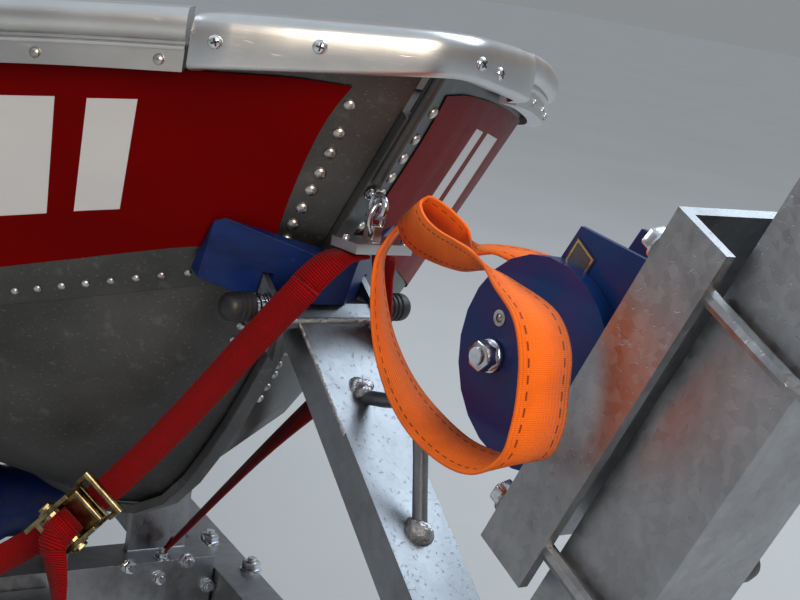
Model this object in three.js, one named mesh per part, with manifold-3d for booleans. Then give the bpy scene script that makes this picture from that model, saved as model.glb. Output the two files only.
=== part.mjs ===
// Inshore rescue boat on its road trailer, in millimetres, +Z up.
// +X is forward, to the coupling and the bow, +Y is port, and the ground is z = 0.
// All places are measured from the tip of the bow, and one group moves them to the middle.
import * as THREE from 'three';
import { mergeVertices } from 'three/addons/utils/BufferGeometryUtils.js';
import Module from 'manifold-3d';

const wasm = await Module();
wasm.setup();

// Driving dimensions
const MIDDLE_X = -1874.5; // halfway between the coupling's nose and the propeller's end
const PLATE = 4; // thickness of the hull plates
const GAP = 0.6; // left between pieces that touch
const FLOOR_Z = 700;
const BEAM_TOP = 500; // top of the trailer's frame
const TYRE_R = 250;
const TYRE_W = 145;
const TRACK = 1400;
const AXLE_X = -2560;
const POST_LEAN = THREE.MathUtils.degToRad(25);
const POST_FOOT_X = 118;
const WINCH = { x: 181, z: 960, drumR: 30, coverR: 74 };
const CRANK = { x: 143, z: 955, length: 165, y: 66 };
const BOW_BOLT = { x: -121, z: 921, low: 912.5, head: 52 };
const JOCKEY = { x: 560, y: -82, wheelR: 100, trail: 55 };
const MOTOR = { tiltX: -4378, tiltZ: 1022, steerX: -4438, screwZ: 515, screwR: 112 };

// Hull stations from the bow to the transom: x, half width and height of the sheer
// and of the chine, then x and height of the keel line, and the swell of the bottom.
const STATIONS = [
  { sheer: [-22, 6, 1136], chine: [-139, 6, 940], keel: [-146, 929], swell: 1 },
  { sheer: [-84, 104, 1127], chine: [-190, 76, 920], keel: [-199, 830], swell: 8 },
  { sheer: [-162, 205, 1114], chine: [-244, 147, 896], keel: [-244, 760], swell: 16 },
  { sheer: [-260, 318, 1095], chine: [-313, 224, 868], keel: [-300, 697], swell: 20 },
  { sheer: [-405, 450, 1072], chine: [-432, 328, 832], keel: [-400, 655], swell: 20 },
  { sheer: [-690, 600, 1045], chine: [-695, 468, 786], keel: [-620, 643], swell: 14 },
  { sheer: [-1150, 706, 1022], chine: [-1150, 588, 748], keel: [-1100, 640], swell: 8 },
  { sheer: [-1800, 765, 1008], chine: [-1800, 655, 724], keel: [-1800, 640], swell: 2 },
  { sheer: [-2600, 788, 1002], chine: [-2600, 682, 714], keel: [-2600, 640], swell: 2 },
  { sheer: [-3400, 782, 1000], chine: [-3400, 678, 712], keel: [-3400, 640], swell: 2 },
  { sheer: [-4270, 752, 1000], chine: [-4205, 655, 710], keel: [-4190, 640], swell: 2 },
];
const STEPS = 2; // rows made between two stations

const V = (x, y, z) => new THREE.Vector3(x, y, z);

// Materials, with the colours of the real finishes
const finish = (color, roughness, metalness) => (
  new THREE.MeshStandardMaterial({ color, roughness, metalness }));
const aluminium = finish(0x9a9a9a, 0.45, 0.9);
const polished = finish(0xc8ccd0, 0.25, 1.0);
const galvanised = finish(0x8f9499, 0.5, 0.8);
const zinc = finish(0xc9ccc8, 0.3, 1.0);
const navy = finish(0x10245c, 0.45, 0.0);
const winchBlue = finish(0x16308c, 0.4, 0.2);
const orangeWeb = finish(0xff5a10, 0.8, 0.0);
const redWeb = finish(0xc8101c, 0.8, 0.0);
const rubber = finish(0x15161a, 0.8, 0.0);
const blackPlastic = finish(0x1b1c1e, 0.55, 0.0);
const cowlGrey = finish(0x2a2d31, 0.35, 0.1);
const timber = finish(0x8a6a44, 0.7, 0.0);
const lampRed = finish(0xb01010, 0.25, 0.0);

const boat = new THREE.Group();
boat.position.x = -MIDDLE_X;

function add(name, geometry, material, parent = boat) {
  const mesh = new THREE.Mesh(geometry, material);
  mesh.name = name;
  parent.add(mesh);
  return mesh;
}

// Joining and cutting
function solid(geometry) {
  const bare = geometry.clone();
  for (const name of Object.keys(bare.attributes)) {
    if (name !== 'position') bare.deleteAttribute(name);
  }
  const merged = mergeVertices(bare, 1e-3);
  return new wasm.Manifold(new wasm.Mesh({
    numProp: 3,
    vertProperties: new Float32Array(merged.attributes.position.array),
    triVerts: new Uint32Array(merged.index.array),
  }));
}

function geometryOf(body) {
  const mesh = body.getMesh();
  const geometry = new THREE.BufferGeometry();
  geometry.setAttribute('position', new THREE.BufferAttribute(mesh.vertProperties, 3));
  geometry.setIndex(new THREE.BufferAttribute(mesh.triVerts, 1));
  return geometry;
}

const join = (...parts) => geometryOf(parts.map(solid).reduce((a, b) => a.add(b)));
const cut = (part, ...tools) => geometryOf(
  tools.map(solid).reduce((a, b) => a.subtract(b), solid(part)));
const keep = (part, room) => geometryOf(solid(part).intersect(solid(room)));

// Plain shapes
function block(x0, x1, y0, y1, z0, z1) {
  const box = new THREE.BoxGeometry(x1 - x0, y1 - y0, z1 - z0);
  return box.translate((x0 + x1) / 2, (y0 + y1) / 2, (z0 + z1) / 2);
}

function rod(from, to, radius, sides = 12) {
  const along = to.clone().sub(from);
  const bar = new THREE.CylinderGeometry(radius, radius, along.length(), sides);
  const turn = new THREE.Quaternion().setFromUnitVectors(V(0, 1, 0), along.normalize());
  const middle = from.clone().add(to).multiplyScalar(0.5);
  return bar.applyQuaternion(turn).translate(middle.x, middle.y, middle.z);
}

// A side profile of [x, z] points, extruded across from y0 to y1
function profile(points, y0, y1) {
  const shape = new THREE.Shape(points.map(([x, z]) => new THREE.Vector2(x, z)));
  const body = new THREE.ExtrudeGeometry(shape, { depth: y1 - y0, bevelEnabled: false });
  return body.rotateX(Math.PI / 2).translate(0, y1, 0);
}

// A plan of [x, y] points, extruded up from z0 to z1
function plan(points, z0, z1) {
  const shape = new THREE.Shape(points.map(([x, y]) => new THREE.Vector2(x, y)));
  const body = new THREE.ExtrudeGeometry(shape, { depth: z1 - z0, bevelEnabled: false });
  return body.translate(0, 0, z0);
}

// A round bar along a smooth line
function bentRod(points, radius, steps, sides = 10) {
  const ring = new THREE.Shape();
  ring.absarc(0, 0, radius, 0, 2 * Math.PI);
  const line = new THREE.CatmullRomCurve3(points, false, 'centripetal');
  return new THREE.ExtrudeGeometry(ring, { steps, extrudePath: line, curveSegments: sides });
}

// A turned shape of [radius, height] points about the Y axis, closed on the axis or on itself
function turnedY(points, sides) {
  return new THREE.LatheGeometry(points.map(([r, h]) => new THREE.Vector2(r, h)), sides);
}

// A closed body through rings of points, each with the same number of points. Its two ends
// are closed by triangles, or zipped shut between the ring's two long sides.
function loft(rings, zipped = false) {
  const count = rings[0].length;
  const at = rings.flat().flatMap((p) => [p.x, p.y, p.z]);
  const index = [];
  for (let i = 0; i + 1 < rings.length; i += 1) {
    for (let j = 0; j < count; j += 1) {
      const k = (j + 1) % count;
      const [a, b, c, d] = [i * count + j, i * count + k, (i + 1) * count + k, (i + 1) * count + j];
      index.push(a, b, c, a, c, d);
    }
  }
  const zip = (first, turned) => {
    for (let j = 0; 2 * j + 2 < count; j += 1) {
      const [a, b, c, d] = [j, j + 1, count - 2 - j, count - 1 - j].map((k) => first + k);
      const faces = b === c ? [[a, b, d]] : [[a, b, c], [a, c, d]];
      faces.forEach((face) => index.push(...(turned ? face.reverse() : face)));
    }
  };
  const cap = (ring, first, turned) => {
    if (zipped) {
      zip(first, turned);
      return;
    }
    const across = ring[1].clone().sub(ring[0]).normalize();
    const normal = V(0, 0, 0);
    for (let j = 1; j + 1 < count; j += 1) {
      const p = ring[j].clone().sub(ring[0]);
      normal.add(p.cross(ring[j + 1].clone().sub(ring[0])));
    }
    const up = normal.normalize().cross(across);
    const flat = ring.map((p) => new THREE.Vector2(p.dot(across), p.dot(up)));
    for (const [a, b, c] of THREE.ShapeUtils.triangulateShape(flat, [])) {
      index.push(first + a, first + (turned ? c : b), first + (turned ? b : c));
    }
  };
  cap(rings[0], 0, true);
  cap(rings[rings.length - 1], (rings.length - 1) * count, false);
  const geometry = new THREE.BufferGeometry();
  geometry.setAttribute('position', new THREE.Float32BufferAttribute(at, 3));
  geometry.setIndex(index);
  return facingOut(geometry);
}

// Turns a closed body's faces the right way out
function facingOut(geometry) {
  const p = geometry.attributes.position;
  const index = geometry.index.array;
  let volume = 0;
  for (let i = 0; i < index.length; i += 3) {
    const [a, b, c] = [0, 1, 2].map((k) => V().fromBufferAttribute(p, index[i + k]));
    volume += a.dot(b.cross(c));
  }
  if (volume < 0) {
    for (let i = 0; i < index.length; i += 3) {
      [index[i + 1], index[i + 2]] = [index[i + 2], index[i + 1]];
    }
  }
  return geometry;
}

const mirrored = (geometry) => {
  const other = geometry.clone();
  const p = other.attributes.position;
  for (let i = 0; i < p.count; i += 1) p.setY(i, -p.getY(i));
  return facingOut(mergeVertices(bareOf(other), 1e-4));
};

function bareOf(geometry) {
  for (const name of Object.keys(geometry.attributes)) {
    if (name !== 'position') geometry.deleteAttribute(name);
  }
  return geometry;
}

// Hull surface: smooth lines through the stations, port side
function smoothLine(points) {
  const line = new THREE.CatmullRomCurve3(points, false, 'centripetal');
  const count = (points.length - 1) * STEPS;
  return Array.from({ length: count + 1 }, (_, i) => line.getPoint(i / count));
}

const sheerLine = smoothLine(STATIONS.map(({ sheer: [x, y, z] }) => V(x, y, z)));
const chineLine = smoothLine(STATIONS.map(({ chine: [x, y, z] }) => V(x, y, z)));
const keelLine = smoothLine(STATIONS.map(({ keel: [x, z] }) => V(x, 0, z)));
const swellLine = smoothLine(STATIONS.map(({ swell }, i) => V(i, 0, swell))).map((p) => p.z);

// Outward normals of a grid of points, one row for each station
function normalsOf(grid) {
  return grid.map((row, i) => row.map((_, j) => {
    const along = grid[Math.min(i + 1, grid.length - 1)][j].clone()
      .sub(grid[Math.max(i - 1, 0)][j]);
    const across = row[Math.min(j + 1, row.length - 1)].clone().sub(row[Math.max(j - 1, 0)]);
    return across.cross(along).normalize();
  }));
}

const moved = (grid, normals, by) => grid.map((row, i) => row.map(
  (p, j) => p.clone().addScaledVector(normals[i][j], by)));

// A plate between an outer and an inner grid, closed at its four edges
function plate(outer, inner) {
  const rings = outer.map((row, i) => [...row, ...[...inner[i]].reverse()]);
  return loft(rings, true);
}

const sideGrid = sheerLine.map((top, i) => [top, chineLine[i]]);
const sideNormals = normalsOf(sideGrid);
const bottomEdge = chineLine.map((p, i) => (
  p.clone().addScaledVector(sideNormals[i][1], -(PLATE + GAP))));
const halfBottom = bottomEdge.map((edge, i) => {
  const middle = edge.clone().add(keelLine[i]).multiplyScalar(0.5);
  const out = V(0, edge.z - keelLine[i].z, -edge.y).normalize();
  return [edge, middle.addScaledVector(out, swellLine[i]), keelLine[i]];
});
const toStarboard = (p) => V(p.x, -p.y, p.z);
const bottomGrid = halfBottom.map(([edge, middle, keel]) => (
  [edge, middle, keel, toStarboard(middle), toStarboard(edge)]));
const bottomNormals = normalsOf(bottomGrid);

// The room inside the hull, in from the plates by the given distance
function hullRoom(inset, top) {
  const side = moved(sideGrid, sideNormals, -inset);
  const bottom = moved(bottomGrid, bottomNormals, -inset + PLATE / 2);
  return loft(side.map(([sheer], i) => {
    const corner = chineLine[i].clone().addScaledVector(sideNormals[i][1], -inset)
      .addScaledVector(bottomNormals[i][1], -inset + PLATE / 2);
    const half = [V(sheer.x, sheer.y, top), sheer, corner, bottom[i][1]].map(
      (p) => V(p.x, Math.max(p.y, 0.5), p.z));
    return [...half, bottom[i][2], ...half.map(toStarboard).reverse()];
  }), true);
}

function hull() {
  const side = plate(sideGrid, moved(sideGrid, sideNormals, -PLATE));
  add('hull_side_port', side, aluminium);
  add('hull_side_starboard', mirrored(side), aluminium);
  add('hull_bottom', plate(bottomGrid, moved(bottomGrid, bottomNormals, -PLATE)), aluminium);
}

// The transom stands just behind the plates, on the same rake
function transom() {
  const last = sideGrid.length - 1;
  const rake = V(sheerLine[last].x - keelLine[last].x, 0, sheerLine[last].z - keelLine[last].z);
  const aft = V(-rake.z, 0, rake.x).normalize();
  const half = [sheerLine[last], chineLine[last], keelLine[last]].map((p) => {
    const onRake = keelLine[last].x + ((p.z - keelLine[last].z) * rake.x) / rake.z;
    return V(onRake, p.y, p.z);
  });
  const ring = [...half, ...half.slice(0, 2).reverse().map(toStarboard)];
  const behind = (by) => ring.map((p) => p.clone().addScaledVector(aft, by));
  add('transom', loft([behind(3), behind(9)]), aluminium);
}

// Gunwales, with the polished cap round the bow in place of their front ends
const RAIL = [[-14, 2.5], [-14, 26], [28, 26], [28, -22], [2.5, -22], [2.5, 2.5]]; // outward, up
const CAP = [[-16, 2.5], [-16, 30], [32, 30], [32, -26], [14, -26], [14, 2.5]];
const CAP_END = 3; // the row of the sheer line where the cap ends
const NOSE_R = 36;

function sectionAt(point, outward, section) {
  return section.map(([out, up]) => point.clone().addScaledVector(outward, out).add(V(0, 0, up)));
}

function outwardAt(i) {
  const next = sheerLine[Math.min(i + 1, sheerLine.length - 1)];
  const along = next.clone().sub(sheerLine[Math.max(i - 1, 0)]);
  return V(along.y, -along.x, 0).normalize();
}

function gunwales() {
  const rings = sheerLine.map((p, i) => sectionAt(p, outwardAt(i), RAIL)).slice(CAP_END);
  const start = sheerLine[CAP_END].clone().lerp(sheerLine[CAP_END + 1], 0.04);
  rings[0] = sectionAt(start, outwardAt(CAP_END), RAIL);
  const rail = loft(rings);
  add('gunwale_port', rail, polished);
  add('gunwale_starboard', mirrored(rail), polished);

  const side = outwardAt(1);
  const noseX = sheerLine[0].x + sheerLine[0].y * (side.y / side.x) - NOSE_R / side.x;
  const turn = Math.atan2(side.y, side.x);
  const nose = [-1, -0.6, -0.2, 0.2, 0.6, 1].map((share) => {
    const out = V(Math.cos(turn * share), Math.sin(turn * share), 0);
    const at = V(noseX, 0, sheerLine[0].z).addScaledVector(out, NOSE_R);
    return sectionAt(at, out, CAP);
  });
  const port = [2, CAP_END].map((i) => sectionAt(sheerLine[i], outwardAt(i), CAP));
  const starboard = port.map((ring) => ring.map(toStarboard)).reverse();
  add('bow_cap', loft([...starboard, ...nose, ...port]), polished);
}

// A bar down the stem and one along the keel
function stemAndKeel() {
  const bar = (line, half, near, far) => loft(line.map((p, i) => {
    const along = line[Math.min(i + 1, line.length - 1)].clone().sub(line[Math.max(i - 1, 0)]);
    const out = V(-along.z, 0, along.x).normalize();
    const at = (y, by) => p.clone().addScaledVector(out, by).add(V(0, y, 0));
    return [at(-half, near), at(half, near), at(half, far), at(-half, far)];
  }));
  const bend = 8;
  const top = sheerLine[0].clone().lerp(chineLine[0], 0.2).setY(0);
  const stem = [top, chineLine[0].clone().setY(0), ...keelLine.slice(1, bend + 1)];
  const keel = keelLine.slice(bend + 1);
  add('keel_bar', bar([...stem, ...keel], 8, 1, 10), aluminium);
}

// Thwarts are hollow boxes, open below, shaped to the hull
function thwart(x0, x1, top, room) {
  const wall = 5;
  const box = block(x0, x1, -900, 900, FLOOR_Z + 7, top);
  const inside = block(x0 + wall, x1 - wall, -900, 900, FLOOR_Z - 20, top - wall);
  return keep(cut(box, inside), room);
}

function inside() {
  const room = hullRoom(14, 1200);
  add('floor', keep(block(-4150, -560, -900, 900, FLOOR_Z, FLOOR_Z + 5), room), aluminium);
  add('bow_seat', thwart(-760, -300, 960, room), aluminium);
  add('middle_thwart', thwart(-2250, -1950, 910, room), aluminium);
  add('aft_thwart', thwart(-3700, -3380, 910, room), aluminium);
}

// The hook plate at the bow, with its link and the eye that holds it
const EYE = { x: -64.2, z: 1017.6, tube: 3.5, ring: 9 };
const HOOK = { z0: 981, z1: 989, holeZ: 996, y0: -24, y1: 32, x0: -86, x1: -52 };

function bowFittings() {
  const ring = new THREE.TorusGeometry(EYE.ring, EYE.tube, 8, 16).rotateX(Math.PI / 2);
  ring.translate(EYE.x, 0, EYE.z);
  const bolt = rod(V(EYE.x - 9.5, 0, EYE.z + 3), V(EYE.x - 5, 0, EYE.z + 6), 3);
  add('bow_eye', join(ring, bolt), zinc);
  const half = (EYE.z - HOOK.holeZ) / 2;
  const middle = EYE.z - half;
  const link = [0, 1, 2, 3, 4, 5, 6, 7].map((k) => k * (Math.PI / 4) + Math.PI / 8).map((a) => (
    V(EYE.x, 11 * Math.cos(a), middle + (half + 1) * Math.sin(a))));
  const line = new THREE.CatmullRomCurve3(link, true, 'centripetal');
  add('link', closedWire(line, 2.2), zinc);
  const flat = block(HOOK.x0, HOOK.x1, HOOK.y0, HOOK.y1, HOOK.z0, HOOK.z1);
  const lug = block(EYE.x - 8, EYE.x + 5, -4, 4, HOOK.z1 - 1, HOOK.holeZ + 6);
  const hole = rod(V(EYE.x, -9, HOOK.holeZ), V(EYE.x, 9, HOOK.holeZ), 3.6);
  add('hook_plate', cut(join(flat, lug), hole), galvanised);
}

// A closed loop of wire, as a torus bent to a closed line
function closedWire(line, radius) {
  const [along, round] = [24, 8];
  const wire = new THREE.TorusGeometry(1, 0.5, round, along);
  const p = wire.attributes.position;
  const frames = line.computeFrenetFrames(along, true);
  for (let j = 0; j <= round; j += 1) {
    for (let i = 0; i <= along; i += 1) {
      const v = (j / round) * 2 * Math.PI;
      const at = line.getPointAt((i % along) / along);
      at.addScaledVector(frames.normals[i % along], radius * Math.cos(v));
      at.addScaledVector(frames.binormals[i % along], radius * Math.sin(v));
      p.setXYZ(j * (along + 1) + i, at.x, at.y, at.z);
    }
  }
  return facingOut(mergeVertices(bareOf(wire), 1e-4));
}

// A point behind the transom, out from it and at a height
const onRake = (by, z) => (
  keelLine[keelLine.length - 1].x - (z - 640) * (80 / 360) - by * 1.024);
const raked = (list) => list.map(([by, z]) => [onRake(by, z), z]);

function motorPads() {
  const outline = raked([[-22, 740], [2.4, 740], [2.4, 1001], [9.6, 1001], [9.6, 740],
    [34, 740], [34, 1008], [-22, 1008]]);
  add('motor_pad', profile(outline, -140, 140), timber);
}

function outboard() {
  const { tiltX, tiltZ, steerX, screwZ, screwR } = MOTOR;
  const arm = raked([[-52, 900], [-34, 900], [-34, 1010], [36, 1010], [36, 800],
    [60, 800], [60, 985], [128, 1000], [128, 1045], [-52, 1040]]);
  const back = raked([[36, 800], [56, 800], [56, 985], [36, 985]]);
  const screws = [-70, 70].map((y) => join(
    rod(V(onRake(-80, 940), y, 940), V(onRake(-31, 940), y, 940), 7),
    rod(V(onRake(-34, 940), y, 940), V(onRake(-28.5, 940), y, 940), 18),
    rod(V(onRake(-76, 940), y - 28, 940), V(onRake(-76, 940), y + 28, 940), 5)));
  add('motor_clamp', join(profile(arm, 60, 80), profile(arm, -80, -60), profile(back, -80, 80),
    rod(V(tiltX, -62, tiltZ), V(tiltX, 62, tiltZ), 8), ...screws), blackPlastic);

  const neck = block(steerX - 22, tiltX + 6, -20, 20, 990, 1045);
  const tube = rod(V(steerX, 0, 832), V(steerX, 0, 1048), 24, 16);
  const knuckle = rod(V(tiltX, -54, tiltZ), V(tiltX, 54, tiltZ), 16, 16);
  add('motor_swivel', cut(join(neck, tube, knuckle),
    rod(V(tiltX, -60, tiltZ), V(tiltX, 60, tiltZ), 9),
    rod(V(steerX, 0, 800), V(steerX, 0, 1060), 11)), blackPlastic);

  const at = (x0, x1, y, z0, z1) => block(steerX + x0, steerX + x1, -y, y, z0, z1);
  const fin = profile([[steerX - 60, 490], [steerX - 100, 350], [steerX - 170, 350],
    [steerX - 210, 490]], -5, 5);
  const pivotX = steerX + 62;
  add('motor_leg', join(
    rod(V(steerX, 0, 804), V(steerX, 0, 1075), 10),
    at(-60, 18, 24, 1056, 1076), at(-60, 18, 24, 804, 826),
    at(-130, -46, 32, 640, 1130), at(-308, 10, 105, 1125, 1141), at(-20, 34, 60, 1125, 1141),
    at(-308, -50, 75, 636, 643), at(-190, -60, 14, screwZ, 640),
    rod(V(steerX - 30, 0, screwZ), V(steerX - 238, 0, screwZ), 36, 16), fin,
    at(30, 76, 12, 1126, 1140),
    rod(V(pivotX, -30, 1133), V(pivotX, 30, 1133), 5)), cowlGrey);

  const shell = (inset, drop) => loft([[0, 0], [150, 4], [250, 18], [290, 60]].map(([up, tuck]) => {
    const t = tuck + inset;
    const [x0, x1, y] = [steerX - 308 + t, steerX + 38 - t, 118 - t * 0.8];
    const z = 1142 + (up * (270 - inset)) / 290 - (up ? 0 : drop);
    const k = 34;
    return [V(x0 + k, -y, z), V(x1 - k, -y, z), V(x1, -y + k, z), V(x1, y - k, z),
      V(x1 - k, y, z), V(x0 + k, y, z), V(x0, y - k, z), V(x0, -y + k, z)];
  }));
  add('motor_cowl', cut(shell(0, 0), shell(5, 30)), cowlGrey);
  add('engine_block', at(-220, 5, 75, 1142, 1340), blackPlastic);

  const hub = rod(V(steerX - 240, 0, screwZ), V(steerX - 308, 0, screwZ), 24, 16);
  const blades = [0, 1, 2].map((k) => {
    const blade = block(-4, 4, -32, 32, 14, screwR).rotateZ(0.55);
    return blade.rotateX((k * 2 * Math.PI) / 3).translate(steerX - 278, 0, screwZ);
  });
  add('propeller', join(hub, ...blades), aluminium);

  const cheek = (y0, y1) => block(pivotX - 14, pivotX + 14, y0, y1, 1120, 1170);
  const grip = rod(V(pivotX, 0, 1160), V(pivotX, 0, 1490), 15, 12);
  add('tiller', cut(join(grip, cheek(18, 26), cheek(-26, -18), block(
    pivotX - 14, pivotX + 14, -26, 26, 1156, 1170)),
  rod(V(pivotX, -32, 1133), V(pivotX, 32, 1133), 6)), blackPlastic);
}

// The trailer's frame: a drawbar, two side rails and the beams between them
const RAIL_START = { x: 300, y: 66 };
const RAIL_BEND = { x: -1205, y: 430 };
const RAIL_END = -3950;
const RAIL_HALF = 25;
const RAIL_DEPTH = 80;
const railY = (x) => (x < RAIL_BEND.x ? RAIL_BEND.y : RAIL_START.y
  + ((RAIL_START.x - x) * (RAIL_BEND.y - RAIL_START.y)) / (RAIL_START.x - RAIL_BEND.x));
const ROLLER_Z = 588;
const ROLLERS = [['front', -590, 515], ['middle', -2000, 500], ['rear', -3870, 500]];

function frame() {
  add('drawbar', block(-558, 900, -40, 40, BEAM_TOP - 80, BEAM_TOP), galvanised);
  const rail = loft([RAIL_START.x, RAIL_BEND.x, RAIL_END].map((x) => {
    const [y, z0, z1] = [railY(x), BEAM_TOP - RAIL_DEPTH, BEAM_TOP];
    return [V(x, y - RAIL_HALF, z0), V(x, y + RAIL_HALF, z0), V(x, y + RAIL_HALF, z1),
      V(x, y - RAIL_HALF, z1)];
  }));
  const withPosts = join(rail, ...bunkPosts());
  add('rail_port', withPosts, galvanised);
  add('rail_starboard', mirrored(withPosts), galvanised);
  ROLLERS.forEach(([name, x, top]) => {
    const ends = [x + 30, x - 30].map((e) => [e, railY(e) - RAIL_HALF - GAP - 1]);
    const outline = [...ends, ...[...ends].reverse().map(([e, y]) => [e, -y])];
    const beam = plan(outline, top - 70, top);
    const ears = name === 'front' ? [-1, 1].map((s) => strapEar(x, s * 190)) : [];
    add(`cross_beam_${name}`, join(beam, ...rollerBracket(x, top), ...ears), galvanised);
    const drum = turnedY([[9, -50], [45, -50], [45, -30], [38, -12], [38, 12], [45, 30],
      [45, 50], [9, 50], [9, -50]], 20);
    add(`keel_roller_${name}`, drum, navy).position.set(x, 0, ROLLER_Z);
  });
}

// An upright plate on the front beam, beside each strap
function strapEar(x, y) {
  return block(x - 14, x - 6, y - 37, y + 37, BEAM_TOP - 40, 586);
}

function rollerBracket(x, top) {
  const cheek = (y0, y1) => block(x - 24, x + 24, y0, y1, top - 1, ROLLER_Z + 16);
  return [cheek(56, 62), cheek(-62, -56), rod(V(x, -58, ROLLER_Z), V(x, 58, ROLLER_Z), 8)];
}

// The bunks carry the bottom on two posts each
const BUNK = { x0: -3500, x1: -2300, y: 400, half: 45, depth: 40 };

function bunkPosts() {
  const posts = [BUNK.x0 + 150, BUNK.x1 - 150].map((x) => (
    block(x - 20, x + 20, 420, 454, BEAM_TOP - 5, 641)));
  return posts;
}

function bunks() {
  const lean = Math.atan2(714 - 640, 682);
  const top = 640 + BUNK.y * Math.tan(lean) - 3;
  for (const [side, s] of [['port', 1], ['starboard', -1]]) {
    const board = block(BUNK.x0, BUNK.x1, -BUNK.half, BUNK.half, -BUNK.depth, 0);
    add(`bunk_${side}`, board.rotateX(s * lean).translate(0, s * BUNK.y, top), timber);
  }
}

function lightBoard() {
  const back = RAIL_END - GAP;
  add('light_board', block(back - 25, back, -650, 650, 400, 505), lampRed);
}

function axleAndWheels() {
  const beamX = AXLE_X + 130;
  const y = TRACK / 2;
  const under = BEAM_TOP - RAIL_DEPTH - GAP;
  const half = (s) => join(
    profile([[beamX - 40, under - 65], [beamX + 40, under - 65], [AXLE_X + 30, 232],
      [AXLE_X - 30, 232], [AXLE_X - 26, 275]], s > 0 ? 560 : -590, s > 0 ? 590 : -560),
    rod(V(AXLE_X, s * 575, TYRE_R), V(AXLE_X, s * (y + 40), TYRE_R), 15, 16));
  add('axle', join(block(beamX - 38, beamX + 38, -575, 575, under - 68, under),
    half(1), half(-1)), galvanised);
  for (const [side, s] of [['port', 1], ['starboard', -1]]) {
    const w = TYRE_W / 2;
    const tyre = turnedY([[130, -w + 14], [140, -w + 6], [175, -w], [215, -w + 3], [240, -w + 14],
      [TYRE_R, -w + 32], [TYRE_R, w - 32], [240, w - 14], [215, w - 3], [175, w], [140, w - 6],
      [130, w - 14], [122, 0], [130, -w + 14]], 32);
    add(`tyre_${side}`, tyre, rubber).position.set(AXLE_X, s * y, TYRE_R);
    const rim = turnedY([[16, 6], [16, 34], [40, 34], [60, 20], [100, 24], [112, w - 16],
      [129, w - 8], [129, w - 15], [120, 0], [129, -w + 15], [129, -w + 8], [112, -w + 16],
      [104, 6], [60, 10], [40, 6], [16, 6]].map(([r, h]) => [r, s * h]), 24);
    const disc = add(`rim_${side}`, facingOut(mergeVertices(bareOf(rim), 1e-4)), zinc);
    disc.position.set(AXLE_X, s * y, TYRE_R);
  }
}

function mudguards() {
  const [inner, outer] = [TYRE_R + 38, TYRE_R + 42];
  const steps = 10;
  const arc = (r, from, to) => Array.from({ length: steps + 1 }, (_, i) => {
    const a = THREE.MathUtils.degToRad(from + ((to - from) * i) / steps);
    return [AXLE_X + r * Math.cos(a), TYRE_R + r * Math.sin(a)];
  });
  const outline = [...arc(outer, 20, 160), ...arc(inner, 160, 20)];
  for (const [side, s] of [['port', 1], ['starboard', -1]]) {
    const [a, b] = s > 0 ? [612, 795] : [-795, -612];
    const [c, d] = s > 0 ? [railY(AXLE_X) + RAIL_HALF + GAP, 640] : [-640,
      -railY(AXLE_X) - RAIL_HALF - GAP];
    const arms = [-205, 205].map((dx) => block(AXLE_X + dx - 15, AXLE_X + dx + 15, c, d, 440, 462));
    add(`mudguard_${side}`, join(profile(outline, a, b), ...arms), blackPlastic);
  }
}

function coupling() {
  const body = join(block(900.6, 960, -34, 34, 432, 492), block(820, 962, -20, 20, 500.6, 512),
    block(900.6, 950, -20, 20, 480, 512),
    new THREE.SphereGeometry(38, 16, 10).translate(958, 0, 458),
    rod(V(940, 0, 490), V(850, 0, 548), 9));
  const socket = new THREE.SphereGeometry(26, 14, 8).translate(962, 0, 438);
  add('coupling', cut(body, socket, block(900, 1010, -50, 50, 400, 432)), zinc);
}

function jockey() {
  const { x, y, wheelR, trail } = JOCKEY;
  const ring = (r, z0, z1) => rod(V(x, y, z0), V(x, y, z1), r, 16);
  const clamp = cut(join(ring(36, 425, 490), block(x - 30, x + 30, y, -40.6, 425, 490)),
    ring(25, 400, 520));
  add('jockey_clamp', clamp, galvanised);
  const crank = join(rod(V(x, y, 618), V(x, y, 650), 8), rod(V(x, y, 646), V(x + 120, y, 646), 7),
    rod(V(x + 118, y, 640), V(x + 118, y, 710), 9));
  const tube = cut(join(ring(24, 300, 622), ring(20, 232, 302)), ring(11, 220, 292));
  add('jockey_tube', join(tube, crank), galvanised);
  const cheek = (y0, y1) => profile([[x - trail - 14, wheelR - 14], [x - trail + 14, wheelR - 14],
    [x + 20, 224], [x - 30, 224]], y0, y1);
  const fork = join(ring(10, 215, 286), block(x - 32, x + 22, y - 36, y + 36, 214, 224),
    cheek(y - 36, y - 30), cheek(y + 30, y + 36),
    rod(V(x - trail, y - 34, wheelR), V(x - trail, y + 34, wheelR), 6));
  add('jockey_fork', fork, galvanised);
  const wheel = turnedY([[7, -24], [30, -24], [34, -14], [70, -14], [78, -24], [94, -22],
    [wheelR, -10], [wheelR, 10], [94, 22], [78, 24], [70, 14], [34, 14], [30, 24], [7, 24],
    [7, -24]], 28);
  add('jockey_wheel', wheel, rubber).position.set(x - trail, y, wheelR);
}

// The winch post leans forward from the drawbar. Along it runs a distance up from its foot,
// and behind it one aft from its aft face.
const POST = { half: 40, top: 790 };
const alongPost = (up, aft) => [
  POST_FOOT_X + up * Math.sin(POST_LEAN) - (aft + POST.half) * Math.cos(POST_LEAN),
  BEAM_TOP + up * Math.cos(POST_LEAN) + (aft + POST.half) * Math.sin(POST_LEAN)];

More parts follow.
